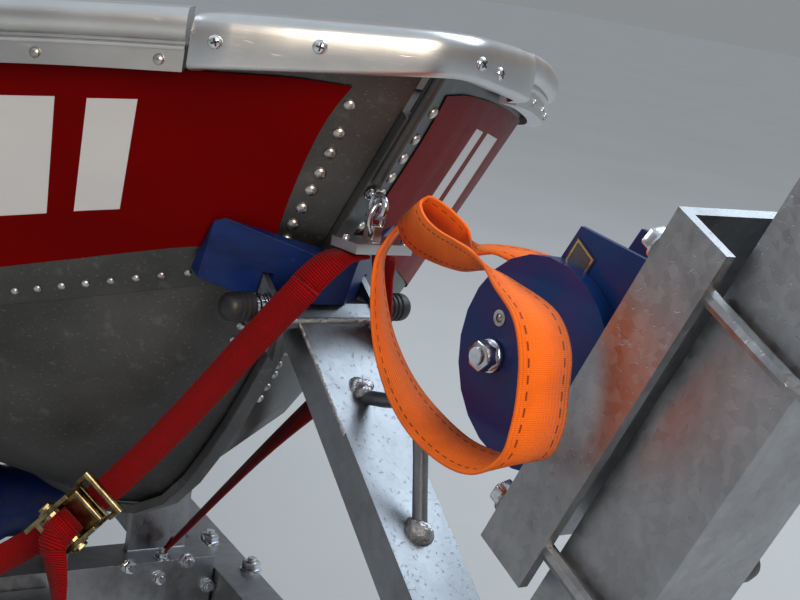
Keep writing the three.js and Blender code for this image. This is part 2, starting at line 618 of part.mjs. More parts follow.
function winchPost() {
  const slope = Math.tan(POST_LEAN);
  const footZ = BEAM_TOP + 9;
  const reach = POST.half / Math.cos(POST_LEAN);
  const foot = [-reach, reach].map((r) => [POST_FOOT_X + (footZ - BEAM_TOP) * slope + r, footZ]);
  const beam = profile([foot[0], foot[1], alongPost(POST.top, -2 * POST.half),
    alongPost(POST.top, 0)], -POST.half, POST.half);
  const flange = block(POST_FOOT_X - 75, POST_FOOT_X + 85, -38, 38, BEAM_TOP + GAP, footZ + 1);
  add('winch_post', join(beam, flange), galvanised);
}

function winchPlate() {
  const [low, high] = [330, 612];
  const side = [alongPost(low, GAP), alongPost(high, GAP), alongPost(high, 50),
    alongPost(low, 50)];
  const web = [alongPost(low, 42), alongPost(high, 42), alongPost(high, 50), alongPost(low, 50)];
  const bolts = [362, 580].map((up) => {
    const at = (aft, y) => V(alongPost(up, aft)[0], y, alongPost(up, aft)[1]);
    const r = 6;
    const y = POST.half + r + 3;
    return bentRod([at(62, y), at(0, y), at(-70, y), at(-88, y - 2), at(-93, y - 10),
      at(-93, 0), at(-93, 10 - y), at(-88, 2 - y), at(-70, -y), at(0, -y), at(62, -y)], r, 20, 4);
  });
  add('winch_bracket', join(profile(side, 50, 58), profile(side, -58, -50),
    profile(web, -58, 58), ...bolts), galvanised);
}

function bowArm() {
  const arm = profile([[112, 733], [-98, 915], [-104, 908], [-129, 895], [-112, 887], [-86, 865],
    [72, 722], [94, 702], [130, 702]], -32, 32);
  const head = profile([[-98, 909], [-98, 915], [-112, 926], [-128, 926], [-128, 920],
    [-114, 920], [-102, 909]], -BOW_BOLT.head, BOW_BOLT.head);
  const lugs = [[BOW_BOLT.head - 6, BOW_BOLT.head], [-BOW_BOLT.head, 6 - BOW_BOLT.head]].map(
    ([y0, y1]) => profile([[-98, 915], [-108, 927], [-132.7, 946], [-144, 910], [-129, 895],
      [-100, 880]], y0, y1));
  const handle = bentRod([V(-52, 0, 866), V(-20, 0, 872), V(10, 0, 878), V(26, 0, 870),
    V(34, 0, 850), V(42, 0, 818), V(52, 0, 778)], 6, 16, 6);
  const post = profile([alongPost(0, GAP), alongPost(600, GAP), alongPost(600, -90),
    alongPost(0, -90)], -60, 60);
  const through = (r) => rod(V(BOW_BOLT.x, -60, BOW_BOLT.low), V(BOW_BOLT.x, 60, BOW_BOLT.low), r);
  add('bow_arm', cut(join(arm, head, ...lugs, handle), post,
    block(-170, -116, -11, 11, 850, 950), through(5.4)), galvanised);
  const stop = (s) => {
    const at = (y) => V(BOW_BOLT.x, s * y, BOW_BOLT.z);
    return join(rod(at(66), at(94), 12), rod(at(BOW_BOLT.head + GAP), at(67), 11, 8));
  };
  add('stop_bolt', join(stop(1), stop(-1), through(5)), rubber);
  const outline = [[-200, -92], [-150, -92], [-95, -14], [-95, 14], [-150, 92], [-200, 92]];
  const slope = new THREE.Matrix4().set(1, 0, 0.27, -0.27 * 989, 0, 1, 0, 0,
    -0.436, 0, 1, -65.4, 0, 0, 0, 1);
  const tilted = plan(outline, 934, 989).applyMatrix4(slope);
  const under = profile([[-220, 926 + GAP], [-60, 926 + GAP], [-60, 850], [-220, 850]], -53, 53);
  const besideLugs = [[45, 53], [-53, -45]].map(([y0, y1]) => block(-146, -60, y0, y1, 900, 947));
  add('bow_block', cut(tilted, hullRoom(-4, 1200), stemCutter(), under, ...besideLugs), navy);
}

function stemCutter() {
  return profile([[-500, 500], [-150, 1136], [0, 1130], [-134, 925], [-250, 700]], -12, 12);
}

function winch() {
  const { x, z, drumR, coverR } = WINCH;
  const disc = (y0, y1, r, sides = 24) => rod(V(x, y0, z), V(x, y1, z), r, sides);
  const [low, high] = [alongPost(420, 50 + GAP), alongPost(562, 50 + GAP)];
  const cheek = [low, high, [192, 1058], [160, 1000], [140, 940], [165, 890]];
  const web = [low, high, alongPost(562, 56), alongPost(420, 56)];
  const hole = (at, r) => rod(V(at.x, -60, at.z), V(at.x, 60, at.z), r, 12);
  const behind = profile([alongPost(300, 50 + GAP), alongPost(700, 50 + GAP),
    alongPost(700, -90), alongPost(300, -90)], -70, 70);
  const body = join(profile(web, -33, 29), profile(cheek, -33, -29), profile(cheek, 25, 29));
  add('winch_frame', cut(body, hole(WINCH, 7), hole(CRANK, 7)), winchBlue);
  const cover = cut(disc(-45.4, -33.6, coverR), behind, hole(WINCH, 7), hole(CRANK, 7));
  add('winch_cover', cover, winchBlue);
  add('winch_drum', join(disc(-23, 19, drumR), disc(-47, 34, 6, 12)), orangeWeb);
  const { length, y } = CRANK;
  const lean = THREE.MathUtils.degToRad(-55);
  const tip = V(CRANK.x + length * Math.cos(lean), y, CRANK.z + length * Math.sin(lean));
  add('winch_crank', join(
    rod(V(CRANK.x, -62, CRANK.z), V(CRANK.x, y, CRANK.z), 6),
    rod(V(CRANK.x, -60, CRANK.z), V(CRANK.x, -49, CRANK.z), 12, 6),
    rod(V(CRANK.x, y, CRANK.z), tip, 8), rod(tip, tip.clone().add(V(0, 95, 0)), 14)), zinc);
}

// A flat strap along a smooth line. Each stop is x, y, z and the direction of its width.
function ribbon(stops, width, thick, steps) {
  const line = new THREE.CatmullRomCurve3(stops.map(([x, y, z]) => V(x, y, z)), false,
    'centripetal');
  const wide = new THREE.CatmullRomCurve3(stops.map((stop) => V(...stop.slice(3)).normalize()),
    false, 'centripetal');
  return loft(Array.from({ length: steps + 1 }, (_, i) => {
    const at = line.getPoint(i / steps);
    const across = wide.getPoint(i / steps).normalize();
    const face = line.getTangent(i / steps).cross(across).normalize();
    const square = face.clone().cross(line.getTangent(i / steps)).normalize();
    const corner = (a, b) => at.clone().addScaledVector(square, (a * width) / 2)
      .addScaledVector(face, (b * thick) / 2);
    return [corner(-1, -1), corner(1, -1), corner(1, 1), corner(-1, 1)];
  }));
}

// The winch's webbing hangs in a slack loop in front of the winch and ends at the hook plate
const WEBBING = [[150, 0, 1014, 0, 1, 0], [105, 0, 1019, 0, 1, 0], [68, -1, 1014, -0.6, 0.8, 0],
  [39, 0, 1015, -0.83, 0.41, -0.39], [23, -1, 1021, -0.83, 0.36, -0.42],
  [9, -3, 1026, -0.84, 0.34, -0.43], [-6, -8, 1030, -0.85, 0.31, -0.43],
  [-5, -16, 1024, -0.81, 0.34, -0.47], [12, -24, 1016, -0.81, 0.34, -0.48],
  [38, -32, 1012, -0.81, 0.35, -0.47], [78, -46, 1013, -0.79, 0.42, -0.46],
  [118, -61, 1016, -0.74, 0.54, -0.4], [153, -74, 1020, -0.69, 0.7, -0.2],
  [187, -85, 1016, -0.5, 0.86, -0.1], [226, -94, 1007, -0.22, 0.98, -0.03],
  [244, -97, 988, -0.09, 1, -0.01], [250, -98, 963, -0.09, 1, -0.06],
  [251, -98, 940, -0.06, 1, -0.1], [242, -96, 917, -0.15, 0.98, -0.1],
  [213, -93, 902, -0.38, 0.92, 0.05], [172, -87, 896, -0.52, 0.84, 0.12],
  [123, -78, 901, -0.55, 0.81, 0.18], [77, -66, 913, -0.57, 0.82, 0.12],
  [37, -54, 934, -0.6, 0.8, 0.02], [7, -42, 959, -0.63, 0.77, -0.1],
  [-12, -32, 984, -0.69, 0.71, -0.13], [-25, -16, 999, -0.71, 0.69, -0.15],
  [-34, -3, 1010, -0.7, 0.69, -0.15], [-44, 6, 1016, -0.68, 0.71, -0.15]];
const RATCHET = { x: -276, y: -104, z: 695 };

function straps() {
  add('winch_strap', ribbon(WEBBING, 48, 2.5, 84), orangeWeb);
  const near = [[-66, -8, 978.5, 1, 0, 0], [-66, -20, 978, 1, 0, 0], [-66, -32, 973, 1, 0, -0.1],
    [-64, -46, 962, 0.95, 0.1, -0.2], [-65, -60, 949, 0.85, 0.3, -0.35],
    [RATCHET.x, RATCHET.y, RATCHET.z, 0.6, 0.6, -0.5],
    [-450, -221, 527, 0.5, 0.7, -0.4], [-465, -236, 514, 0.5, 0.7, -0.4]];
  add('strap_starboard', ribbon(near, 25, 2.5, 28), redWeb);
  const far = [[-66, 8, 978.5, 1, 0, 0], [-70, 18, 976, 1, 0, 0], [-80, 28, 962, 1, 0, 0],
    [-84, 35, 940, 1, 0, 0], [-84, 39, 916, 1, 0, 0], [-85, 39, 898, 1, 0, 0],
    [-106, 40, 868, 1, 0, -0.1], [-150, 52, 840, 0.8, -0.3, -0.4],
    [-300, 100, 733, 0.6, -0.6, -0.5],
    [-560, 188, 538, 0.5, -0.7, -0.4], [-580, 192, 524, 0.5, -0.7, -0.2]];
  add('strap_port', ribbon(far, 25, 2.5, 30), redWeb);
  const along = V(-228, -42, -240).normalize();
  const out = V(0.55, -0.8, -0.2).projectOnPlane(along).normalize();
  const frameTurn = new THREE.Quaternion().setFromRotationMatrix(
    new THREE.Matrix4().makeBasis(along, out, along.clone().cross(out)));
  const body = join(block(-38, 38, 12, 16, -20, 20), block(-38, 30, 12, 36, -20, -16),
    block(-38, 30, 12, 36, 16, 20), rod(V(0, 26, -20), V(0, 26, 20), 8, 10));
  body.applyQuaternion(frameTurn).translate(RATCHET.x, RATCHET.y, RATCHET.z);
  add('ratchet', body, zinc);
}

hull();
transom();
gunwales();
stemAndKeel();
inside();
bowFittings();
motorPads();
outboard();
frame();
bunks();
axleAndWheels();
lightBoard();
mudguards();
coupling();
jockey();
winchPost();
winchPlate();
bowArm();
winch();
straps();

export default boat;
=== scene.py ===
# %% [markdown]
# # A rescue boat on its trailer
# The solids of the boat, its outboard and its trailer come from CAD. This lesson dresses them:
# it gives each one its finish, and adds the webbing, rivets, bolts and tread that the solids
# leave out. All measures are metres, +X is forward, +Y is port and the ground is z = 0.

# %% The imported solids
import math

import bmesh
import bpy
from mathutils import Matrix, Quaternion, Vector
from mathutils.bvhtree import BVHTree


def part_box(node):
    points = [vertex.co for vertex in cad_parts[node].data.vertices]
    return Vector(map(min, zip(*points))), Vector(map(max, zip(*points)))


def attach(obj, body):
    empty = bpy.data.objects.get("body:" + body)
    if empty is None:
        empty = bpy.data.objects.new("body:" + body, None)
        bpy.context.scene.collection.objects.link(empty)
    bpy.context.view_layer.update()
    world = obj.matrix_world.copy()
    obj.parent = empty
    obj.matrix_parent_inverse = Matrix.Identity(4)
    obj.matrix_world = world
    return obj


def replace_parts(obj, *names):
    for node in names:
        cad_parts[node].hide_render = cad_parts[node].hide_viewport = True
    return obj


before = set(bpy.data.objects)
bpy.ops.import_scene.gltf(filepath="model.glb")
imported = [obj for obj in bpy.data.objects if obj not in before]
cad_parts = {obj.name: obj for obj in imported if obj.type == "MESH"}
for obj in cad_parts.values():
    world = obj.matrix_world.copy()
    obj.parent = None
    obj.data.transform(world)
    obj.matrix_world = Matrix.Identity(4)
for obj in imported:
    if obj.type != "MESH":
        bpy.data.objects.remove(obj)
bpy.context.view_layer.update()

TRAILER = "boat_and_trailer"
BOW = 1.8745  # the tip of the bow is this far ahead of the middle

# %% [markdown]
# ## The camera
# The picture is a close view of the bow. Its lines give the camera: three angles, a place and a
# long lens. The camera could be turned by hand until the bow fits, but named angles say what it
# does, and the next cell uses them again.

# %% Camera
WIDE, HIGH = 800, 600  # the picture in pixels
FOCAL = 1794  # focal length in the same pixels
SENSOR = 36  # width of the camera's sensor in millimetres
TURN, DOWN, ROLL = math.radians(50), math.radians(11), math.radians(9.5)
EYE = Vector((1.025 + BOW, -0.876, 1.218))
AHEAD = Vector((-math.sin(TURN) * math.cos(DOWN), math.cos(TURN) * math.cos(DOWN), -math.sin(DOWN)))
LEVEL = Vector((math.cos(TURN), math.sin(TURN), 0))
RIGHT = Quaternion(-AHEAD, ROLL) @ LEVEL
UP = RIGHT.cross(AHEAD)


def axes(x, y, z):
    """A turn that lays a shape's own X, Y and Z along three directions."""
    return Matrix((x, y, z)).transposed().to_4x4()


lens = bpy.data.cameras.new("camera")
lens.sensor_width = SENSOR
lens.lens = FOCAL * SENSOR / WIDE
lens.clip_start = 0.02
camera = bpy.data.objects.new("camera", lens)
camera.matrix_world = Matrix.Translation(EYE) @ axes(RIGHT, UP, -AHEAD)
bpy.context.scene.collection.objects.link(camera)
bpy.context.scene.camera = camera
print("camera", round(lens.lens, 1), "mm lens at", [round(v, 3) for v in EYE])

# %% [markdown]
# ## The camera as a ruler
# A ray from the camera through a pixel lands on the plate that carries the rivet or the stripe
# seen there. So a small piece can be placed by the pixel where it shows, and still sits on the
# solid that carries it. A search tree over the solid's faces makes each ray quick.

# %% Rays onto the solids
FORWARD, ACROSS, UPWARD = Vector((1, 0, 0)), Vector((0, 1, 0)), Vector((0, 0, 1))
skins = {}


def skin(node):
    """A search tree over the faces of a solid."""
    if node not in skins:
        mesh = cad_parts[node].data
        faces = [list(face.vertices) for face in mesh.polygons]
        skins[node] = BVHTree.FromPolygons([v.co for v in mesh.vertices], faces)
    return skins[node]


def seen(x, y, node):
    """The place on a solid that the picture shows at pixel x, y, and the way it faces."""
    ray = AHEAD + RIGHT * ((x - WIDE / 2) / FOCAL) - UP * ((y - HIGH / 2) / FOCAL)
    place, facing, _, _ = skin(node).ray_cast(EYE, ray.normalized())
    return place, facing


def bow(x, y, z):
    """A point given in millimetres from the tip of the bow, as the solids' own source gives it."""
    return Vector((x / 1000 + BOW, y / 1000, z / 1000))


def other_side(v):
    """The mirror image of a point or a direction, on the far side of the boat."""
    return Vector((v.x, -v.y, v.z))


print("a rivet of the stem sits at", seen(339, 133, "hull_side_starboard")[0])

# %% [markdown]
# ## Materials as sums
# A finish is a handful of patterns added and multiplied. Linking each maths node by hand hides
# that sum, so a small class wraps a socket, and `0.3 + 0.2 * grain` adds the nodes by itself.

# %% Sockets that add and multiply
class Wire:
    """One socket of a material, used like a number."""

    def __init__(self, paint, socket):
        self.paint = paint
        self.socket = socket

    def maths(self, operation, *values):
        return self.paint.node("ShaderNodeMath", {"operation": operation}, dict(enumerate(values)))

    def __add__(self, other):
        return self.maths("ADD", self, other)

    def __mul__(self, other):
        return self.maths("MULTIPLY", self, other)

    def __sub__(self, other):
        return self.maths("SUBTRACT", self, other)

    def __rsub__(self, other):
        return self.maths("SUBTRACT", other, self)

    def __truediv__(self, other):
        return self.maths("DIVIDE", self, other)

    def __gt__(self, other):
        return self.maths("GREATER_THAN", self, other)

    def __lt__(self, other):
        return self.maths("LESS_THAN", self, other)

    __radd__ = __add__
    __rmul__ = __mul__


print("a wire can be added, subtracted, multiplied, divided and compared")

# %% [markdown]
# ## A material as an object
# Every finish needs the same few nodes: noise, waves, a blend of two colours and a bump. A class
# gives each of them a short name, all on Object coordinates, so a pattern keeps its real size in
# metres on every piece.

# %% Materials
CLOUD_FADE = 0.55  # how strong each finer layer of a cloud is, beside the one before


class Paint:
    """A material whose nodes are made by expressions."""

    def __init__(self, name, slot, color, roughness=0.5, metallic=0.0, **fixed):
        self.slot = slot
        self.material = bpy.data.materials.new(name)
        self.material.use_nodes = True
        self.tree = self.material.node_tree
        self.shader = self.tree.nodes["Principled BSDF"]
        self.material.diffuse_color = (*color, 1)
        self.set("Base Color", (*color, 1))
        self.set("Roughness", roughness)
        self.set("Metallic", metallic)
        for key, value in fixed.items():
            self.set(key.replace("_", " "), value)

    def link(self, socket, value):
        if isinstance(value, Wire):
            self.tree.links.new(value.socket, socket)
        else:
            socket.default_value = value

    def set(self, name, value):
        self.link(self.shader.inputs[name], value)

    def node(self, kind, settings, links, output=0):
        """Adds a node, fills its sockets with wires or values, and gives back one output."""
        node = self.tree.nodes.new(kind)
        for key, value in settings.items():
            setattr(node, key, value)
        for key, value in links.items():
            self.link(node.inputs[key], value)
        return Wire(self, node.outputs[output])

    def place(self, stretch=(1, 1, 1), turn=(0, 0, 0)):
        """Object coordinates, turned and stretched. Below 1 draws a pattern out along that axis."""
        spot = self.node("ShaderNodeTexCoord", {}, {}, "Object")
        return self.node("ShaderNodeMapping", {}, {"Vector": spot, "Scale": stretch, "Rotation": turn})

    def measure(self, source, axis):
        """How far along X, Y or Z a point lies, in its object's or its UV map's metres."""
        spot = self.node("ShaderNodeTexCoord", {}, {}, source)
        return self.node("ShaderNodeSeparateXYZ", {}, {0: spot}, axis)

    def noise(self, size, detail=3.0, where=None):
        """Clouds of a size in metres. More detail adds finer and fainter clouds."""
        links = {"Vector": where or self.place(), "Scale": 1 / size, "Detail": detail}
        return self.node("ShaderNodeTexNoise", {}, {**links, "Roughness": CLOUD_FADE}, "Fac")

    def cells(self, size):
        """A mosaic of crystals, each with a random colour."""
        links = {"Vector": self.place(), "Scale": 1 / size}
        return self.node("ShaderNodeTexVoronoi", {}, links, "Color")

    def wave(self, value, period):
        return value.maths("SINE", value * (2 * math.pi / period))

    def step(self, value, low, high):
        """0 below the low value, 1 above the high one, and a ramp between."""
        links = {"Value": value, "From Min": low, "From Max": high}
        return self.node("ShaderNodeMapRange", {"clamp": True}, links)

    def mix(self, share, a, b):
        colors = [c if isinstance(c, Wire) else (*c, 1) for c in (a, b)]
        links = {0: share, 6: colors[0], 7: colors[1]}
        return self.node("ShaderNodeMix", {"data_type": "RGBA"}, links, 2)

    def finish(self, color, roughness, height, depth):
        """Sets the colour, the roughness and a relief of a depth in metres."""
        self.set("Base Color", color)
        self.set("Roughness", roughness)
        links = {"Height": height, "Distance": depth, "Strength": 1.0}
        self.set("Normal", self.node("ShaderNodeBump", {}, links))
        return self


print("a paint starts as Blender's Principled shader")

# %% [markdown]
# ## Metals
# Hot dip galvanising leaves a mosaic of zinc crystals with pits and drips in it. The hull's mill
# plate is duller: it is rolled one way, and scratched and smeared in use. Both are metals whose
# roughness wanders, and that wandering is what the eye reads as age. A photograph of metal could
# serve instead, but it would stretch on long beams and repeat on the hull.

# %% Galvanised steel
def galvanised_steel(name, dark, light):
    """Zinc with crystals, pits and long smears."""
    paint = Paint(name, "galvanised_steel", light, 0.4, 1.0)
    crystal = paint.node("ShaderNodeSeparateColor", {}, {0: paint.cells(0.007)})
    cloud = paint.noise(0.09, 4)
    pits = paint.step(paint.noise(0.004, 2), 0.62, 0.72)
    smear = paint.noise(0.02, 5, paint.place((1, 1, 0.15)))
    tone = cloud * 0.5 + crystal * 0.1 + smear * 0.3
    color = paint.mix(paint.step(tone, 0.25, 0.75), dark, light)
    rough = 0.26 + crystal * 0.08 + smear * 0.24 + pits * 0.1
    relief = cloud * 0.4 + crystal * 0.05 + smear * 0.2 - pits * 0.16
    return paint.finish(color, rough, relief, 0.0009)


def weld_metal():
    """Zinc over a weld: rough in lumps."""
    paint = Paint("weld", "galvanised_steel", (0.55, 0.56, 0.58), 0.4, 1.0)
    blob = paint.noise(0.006, 3)
    color = paint.mix(blob, (0.25, 0.25, 0.26), (0.62, 0.62, 0.63))
    return paint.finish(color, 0.28 + blob * 0.3, blob, 0.003)


GALVANISED = galvanised_steel("galvanised_steel", (0.2, 0.2, 0.205), (0.46, 0.48, 0.51))
DULL_ZINC = galvanised_steel("dull_zinc", (0.14, 0.145, 0.15), (0.33, 0.35, 0.38))
WELD = weld_metal()
print("galvanised steel and its welds are ready")


# %% Aluminium, rolled and extruded
def mill_aluminium():
    """Bare rolled plate: fine lines along the boat, grime, spots and slanted scratches."""
    paint = Paint("mill_aluminium", "hull_aluminium", (0.24, 0.24, 0.245), 0.42, 1.0)
    rolled = paint.noise(0.0012, 2, paint.place((0.03, 1, 1)))
    grime = paint.noise(0.12, 5)
    spots = paint.step(paint.noise(0.014, 4), 0.6, 0.75)
    slanted = paint.noise(0.0016, 1, paint.place((0.02, 0.6, 1), (0, 0.4, 0.2)))
    scratch = paint.step(slanted, 0.68, 0.72)
    share = paint.step(grime + spots * 0.25 + scratch * 0.3, 0.3, 1.0)
    # Both colours are darker than bare aluminium, partly as a painted reflection of dark surroundings.
    color = paint.mix(share, (0.06, 0.06, 0.059), (0.2, 0.198, 0.195))
    rough = 0.34 + rolled * 0.12 + grime * 0.16 - scratch * 0.08
    return paint.finish(color, rough, rolled * 0.25 + spots * 0.15 - scratch * 0.4 + grime, 0.0003)


def extruded_aluminium():
    """The rail: drawn smooth, polished by hands, and slightly dented."""
    paint = Paint("extruded_aluminium", "polished_aluminium", (0.62, 0.62, 0.63), 0.24, 1.0)
    drawn = paint.noise(0.0007, 2, paint.place((0.03, 0.03, 1)))
    dents = paint.noise(0.08, 2)
    handled = paint.noise(0.1, 4)
    slanted = paint.noise(0.003, 2, paint.place((0.12, 0.12, 1), (0.2, 0, 0)))
    marks = paint.step(slanted, 0.66, 0.72)
    color = paint.mix(handled, (0.42, 0.41, 0.405), (0.72, 0.72, 0.73))
    rough = 0.2 + drawn * 0.08 + handled * 0.14 + marks * 0.08
    return paint.finish(color, rough, drawn * 0.03 + dents - marks * 0.04, 0.0009)


TREAD_PITCH = 0.034  # between the bars of the floor plate


def tread_plate():
    """Floor plate: low bars pressed up in two directions, worn bright on top."""
    paint = Paint("tread_plate", "hull_aluminium", (0.3, 0.3, 0.3), 0.4, 1.0)
    x, y = paint.measure("Object", "X"), paint.measure("Object", "Y")
    bars = paint.wave(x + y, TREAD_PITCH) * paint.wave(x - y, TREAD_PITCH)
    raised = paint.step(bars, 0.35, 0.6)
    grime = paint.noise(0.15, 4)
    color = paint.mix(raised * 0.6 + grime * 0.4, (0.1, 0.1, 0.1), (0.4, 0.4, 0.41))
    rough = 0.5 - raised * 0.15 + grime * 0.1
    return paint.finish(color, rough, raised, 0.0014)


MILL = mill_aluminium()
TREAD = tread_plate()
EXTRUDED = extruded_aluminium()
print("three aluminium finishes are ready")


# %% Plated metals
def plated(name, slot, dark, light, roughness):
    """Zinc, chrome or yellow passivate: bright, with a little tarnish in patches."""
    paint = Paint(name, slot, light, roughness, 1.0)
    tarnish = paint.noise(0.012, 4)
    color = paint.mix(paint.step(tarnish, 0.3, 0.7), dark, light)
    return paint.finish(color, roughness + tarnish * 0.16, tarnish, 0.0003)


BRIGHT = plated("bright_zinc", "zinc_plate", (0.45, 0.46, 0.5), (0.8, 0.82, 0.86), 0.1)
YELLOW = plated("yellow_zinc", "zinc_plate", (0.32, 0.22, 0.09), (0.78, 0.6, 0.28), 0.18)
DULL_YELLOW = plated("worn_zinc", "zinc_plate", (0.07, 0.055, 0.03), (0.42, 0.34, 0.18), 0.24)
STUD = plated("rivet_head", "hull_aluminium", (0.3, 0.28, 0.27), (0.66, 0.64, 0.62), 0.24)
print("plated metals are ready")

# %% [markdown]
# ## Film, plastic, rubber and paint
# The film on the hull is vinyl, so thin that it shows the plate's dents. The bow block is cast
# polyurethane with swirls in it, and the winch wears a thick enamel. All of them scatter light
# inside and mirror little, so their colour does most of the work and their relief is shallow.

# %% Film and mouldings
def film(name, color, streak):
    """Vinyl with broad faint waves and a fine grit. It hardly mirrors the room."""
    paint = Paint(name, "hull_aluminium", color, 0.4, 0.0, Specular_IOR_Level=0.01)
    wave = paint.noise(0.18, 3, paint.place((0.4, 0.4, 1)))
    grit = paint.noise(0.01, 4)
    color = paint.mix(paint.step(wave, 0.3, 0.75), streak, color)
    return paint.finish(color, 0.26 + grit * 0.16, wave + grit * 0.03, 0.001)


def moulded(name, slot, dark, light, roughness, gloss=0.5):
    """Plastic or rubber: cloudy inside, finely grained outside, and scuffed."""
    paint = Paint(name, slot, light, roughness, Specular_IOR_Level=gloss)
    cloud = paint.noise(0.05, 4, paint.place((1, 1, 2.5)))
    skin_grain = paint.noise(0.0016, 2)
    slanted = paint.noise(0.004, 2, paint.place((0.15, 1, 1), (0.3, 0.5, 0.4)))
    scuff = paint.step(slanted, 0.66, 0.74)
    color = paint.mix(paint.step(cloud + scuff * 0.35, 0.3, 0.8), dark, light)
    rough = roughness - 0.08 + cloud * 0.16 + scuff * 0.1
    return paint.finish(color, rough, cloud * 0.6 + skin_grain * 0.25 - scuff * 0.2, 0.0006)


# The red film is darker than its own red: partly painted shade of the near side.
RED_FILM = film("red_film", (0.17, 0.0015, 0.002), (0.1, 0.001, 0.0012))
PALE_FILM = film("pale_film", (0.62, 0.63, 0.66), (0.48, 0.49, 0.52))
NAVY = moulded("navy_block", "navy_plastic", (0.002, 0.007, 0.05), (0.005, 0.024, 0.14), 0.36, 0.22)
RUBBER = moulded("black_rubber", "black_rubber", (0.008, 0.008, 0.009), (0.022, 0.022, 0.024), 0.5)
PLASTIC = moulded("black_plastic", "black_plastic", (0.012, 0.012, 0.013), (0.03, 0.03, 0.032), 0.42)
TYRE = moulded("tyre_rubber", "tyre_rubber", (0.012, 0.012, 0.012), (0.035, 0.034, 0.033), 0.7)
print("film, plastic and rubber are ready")


# %% Enamel, timber and lenses
def enamel(name, slot, color, cast, roughness, coat=0.4):
    """Thick sprayed enamel: orange peel, a soft sheen and a second tint in patches, which on the
    winch's blue is a painted reflection of the orange webbing.
    """
    paint = Paint(name, slot, color, roughness, 0.0, Coat_Weight=coat, Coat_Roughness=0.15,
                  Specular_IOR_Level=coat + 0.1)
    peel = paint.noise(0.0022, 2)
    tint = paint.noise(0.05, 3)
    # Patches of the second tint; on the winch's blue this is a painted reflection of the orange
    # webbing.
    color = paint.mix(paint.step(tint, 0.35, 0.7), color, cast)
    return paint.finish(color, roughness + tint * 0.12, peel * 0.4 + tint, 0.0004)


def plywood():
    """Varnished boards with the grain along the boat."""
    paint = Paint("marine_plywood", "timber", (0.36, 0.22, 0.11), 0.45, 0.0, Coat_Weight=0.3)
    grain = paint.noise(0.004, 5, paint.place((0.06, 1, 1)))
    knots = paint.noise(0.06, 3, paint.place((0.3, 1, 1)))
    figure = paint.step(grain + knots * 0.5, 0.5, 1.0)
    color = paint.mix(figure, (0.15, 0.08, 0.035), (0.42, 0.27, 0.14))
    return paint.finish(color, 0.35 + grain * 0.3, grain, 0.0006)


def lens_plastic(name, color):
    """A lamp's coloured lens, with upright prisms behind it."""
    gloss = 0.12
    paint = Paint(name, "lamp_plastic", color, gloss, 0.0, Coat_Weight=0.6)
    links = {"Vector": paint.place(), "Scale": 60.0}
    ribs = paint.node("ShaderNodeTexWave", {"bands_direction": "Y"}, links)
    lined = paint.mix(ribs, tuple(c * 0.6 for c in color), color)
    return paint.finish(lined, gloss, ribs, 0.0008)


# The blue's purple second tint is a painted reflection of the orange webbing.
BLUE = enamel("winch_enamel", "winch_paint", (0.003, 0.026, 0.115), (0.032, 0.018, 0.1), 0.3, 0.08)
MOTOR = enamel("motor_enamel", "motor_paint", (0.035, 0.038, 0.044), (0.05, 0.052, 0.058), 0.26)
CASTING = enamel("engine_casting", "cast_metal", (0.12, 0.12, 0.12), (0.2, 0.2, 0.2), 0.5)
PLYWOOD = plywood()
RED_LENS = lens_plastic("red_lens", (0.45, 0.005, 0.006))
AMBER_LENS = lens_plastic("amber_lens", (0.7, 0.16, 0.006))
WHITE_LENS = lens_plastic("white_lens", (0.6, 0.6, 0.6))
print("enamel, plywood and lenses are ready")

# %% [markdown]
# ## Webbing
# Winch webbing is woven polyester: fine ribs across it, a firm selvedge, and a dark tracer thread
# that dips in and out near each edge. The pattern has to follow the strap through its loops, so
# it reads the strap's own UV map, in metres along and across. The ratchet straps are plain red
# with coarser ribs and no tracer, and the darker grooves between their ribs are painted shade.

# %% Woven webbing
WEBBING_WIDTH, STRAP_WIDTH = 0.048, 0.025
CORD = 0.0031  # from one lengthwise cord to the next
TRACER = (0.0062, 0.0078)  # the tracer thread lies between these distances from the edge
STITCH, SHOWN = 0.0105, 0.55  # one stitch of the tracer, and the share of it that lies on top


def webbing(name, slot, color, painted_groove_shade, width, rib, tracer, sheen):
    """Woven strap. A rib is one weft thread; the tracer is 1 where there is one, or 0. Without a
    tracer, the grooves between the ribs get painted shade.
    """
    paint = Paint(name, slot, color, 0.72, 0.0, Sheen_Weight=sheen, Specular_IOR_Level=sheen * 2)
    along, across = paint.measure("UV", "X"), paint.measure("UV", "Y")
    ribs = paint.wave(along, rib)
    cords = paint.wave(across, CORD)
    from_edge = width / 2 - across.maths("ABSOLUTE", across)
    near = (from_edge > TRACER[0]) * (from_edge < TRACER[1])
    dashes = along.maths("FRACT", along / STITCH) < SHOWN
    thread = near * dashes * tracer
    fade = paint.noise(0.03, 3)
    base = paint.mix(paint.step(fade, 0.3, 0.7), tuple(c * 0.82 for c in color), color)
    # Painted shade: the colour darkens in the grooves between the ribs; only straps without a tracer
    # use it.
    groove_shaded = paint.mix(0.5 - ribs * 0.5, base, painted_groove_shade)
    lined = paint.mix(thread, base if tracer else groove_shaded, tuple(c * 0.22 for c in color))
    return paint.finish(lined, 0.62 + fade * 0.2, ribs * 0.5 + cords * 0.5 - thread * 2, 0.0003)


ORANGE = webbing("orange_webbing", "orange_webbing", (1.0, 0.165, 0.008), (0.8, 0.1, 0.004),
                 WEBBING_WIDTH, 0.0012, 1, 0.07)
# The red straps' second colour is painted shade for the grooves between the ribs.
RED = webbing("red_webbing", "red_webbing", (0.36, 0.002, 0.004), (0.1, 0.0, 0.001),
              STRAP_WIDTH, 0.0021, 0, 0.04)
print("webbing is ready")

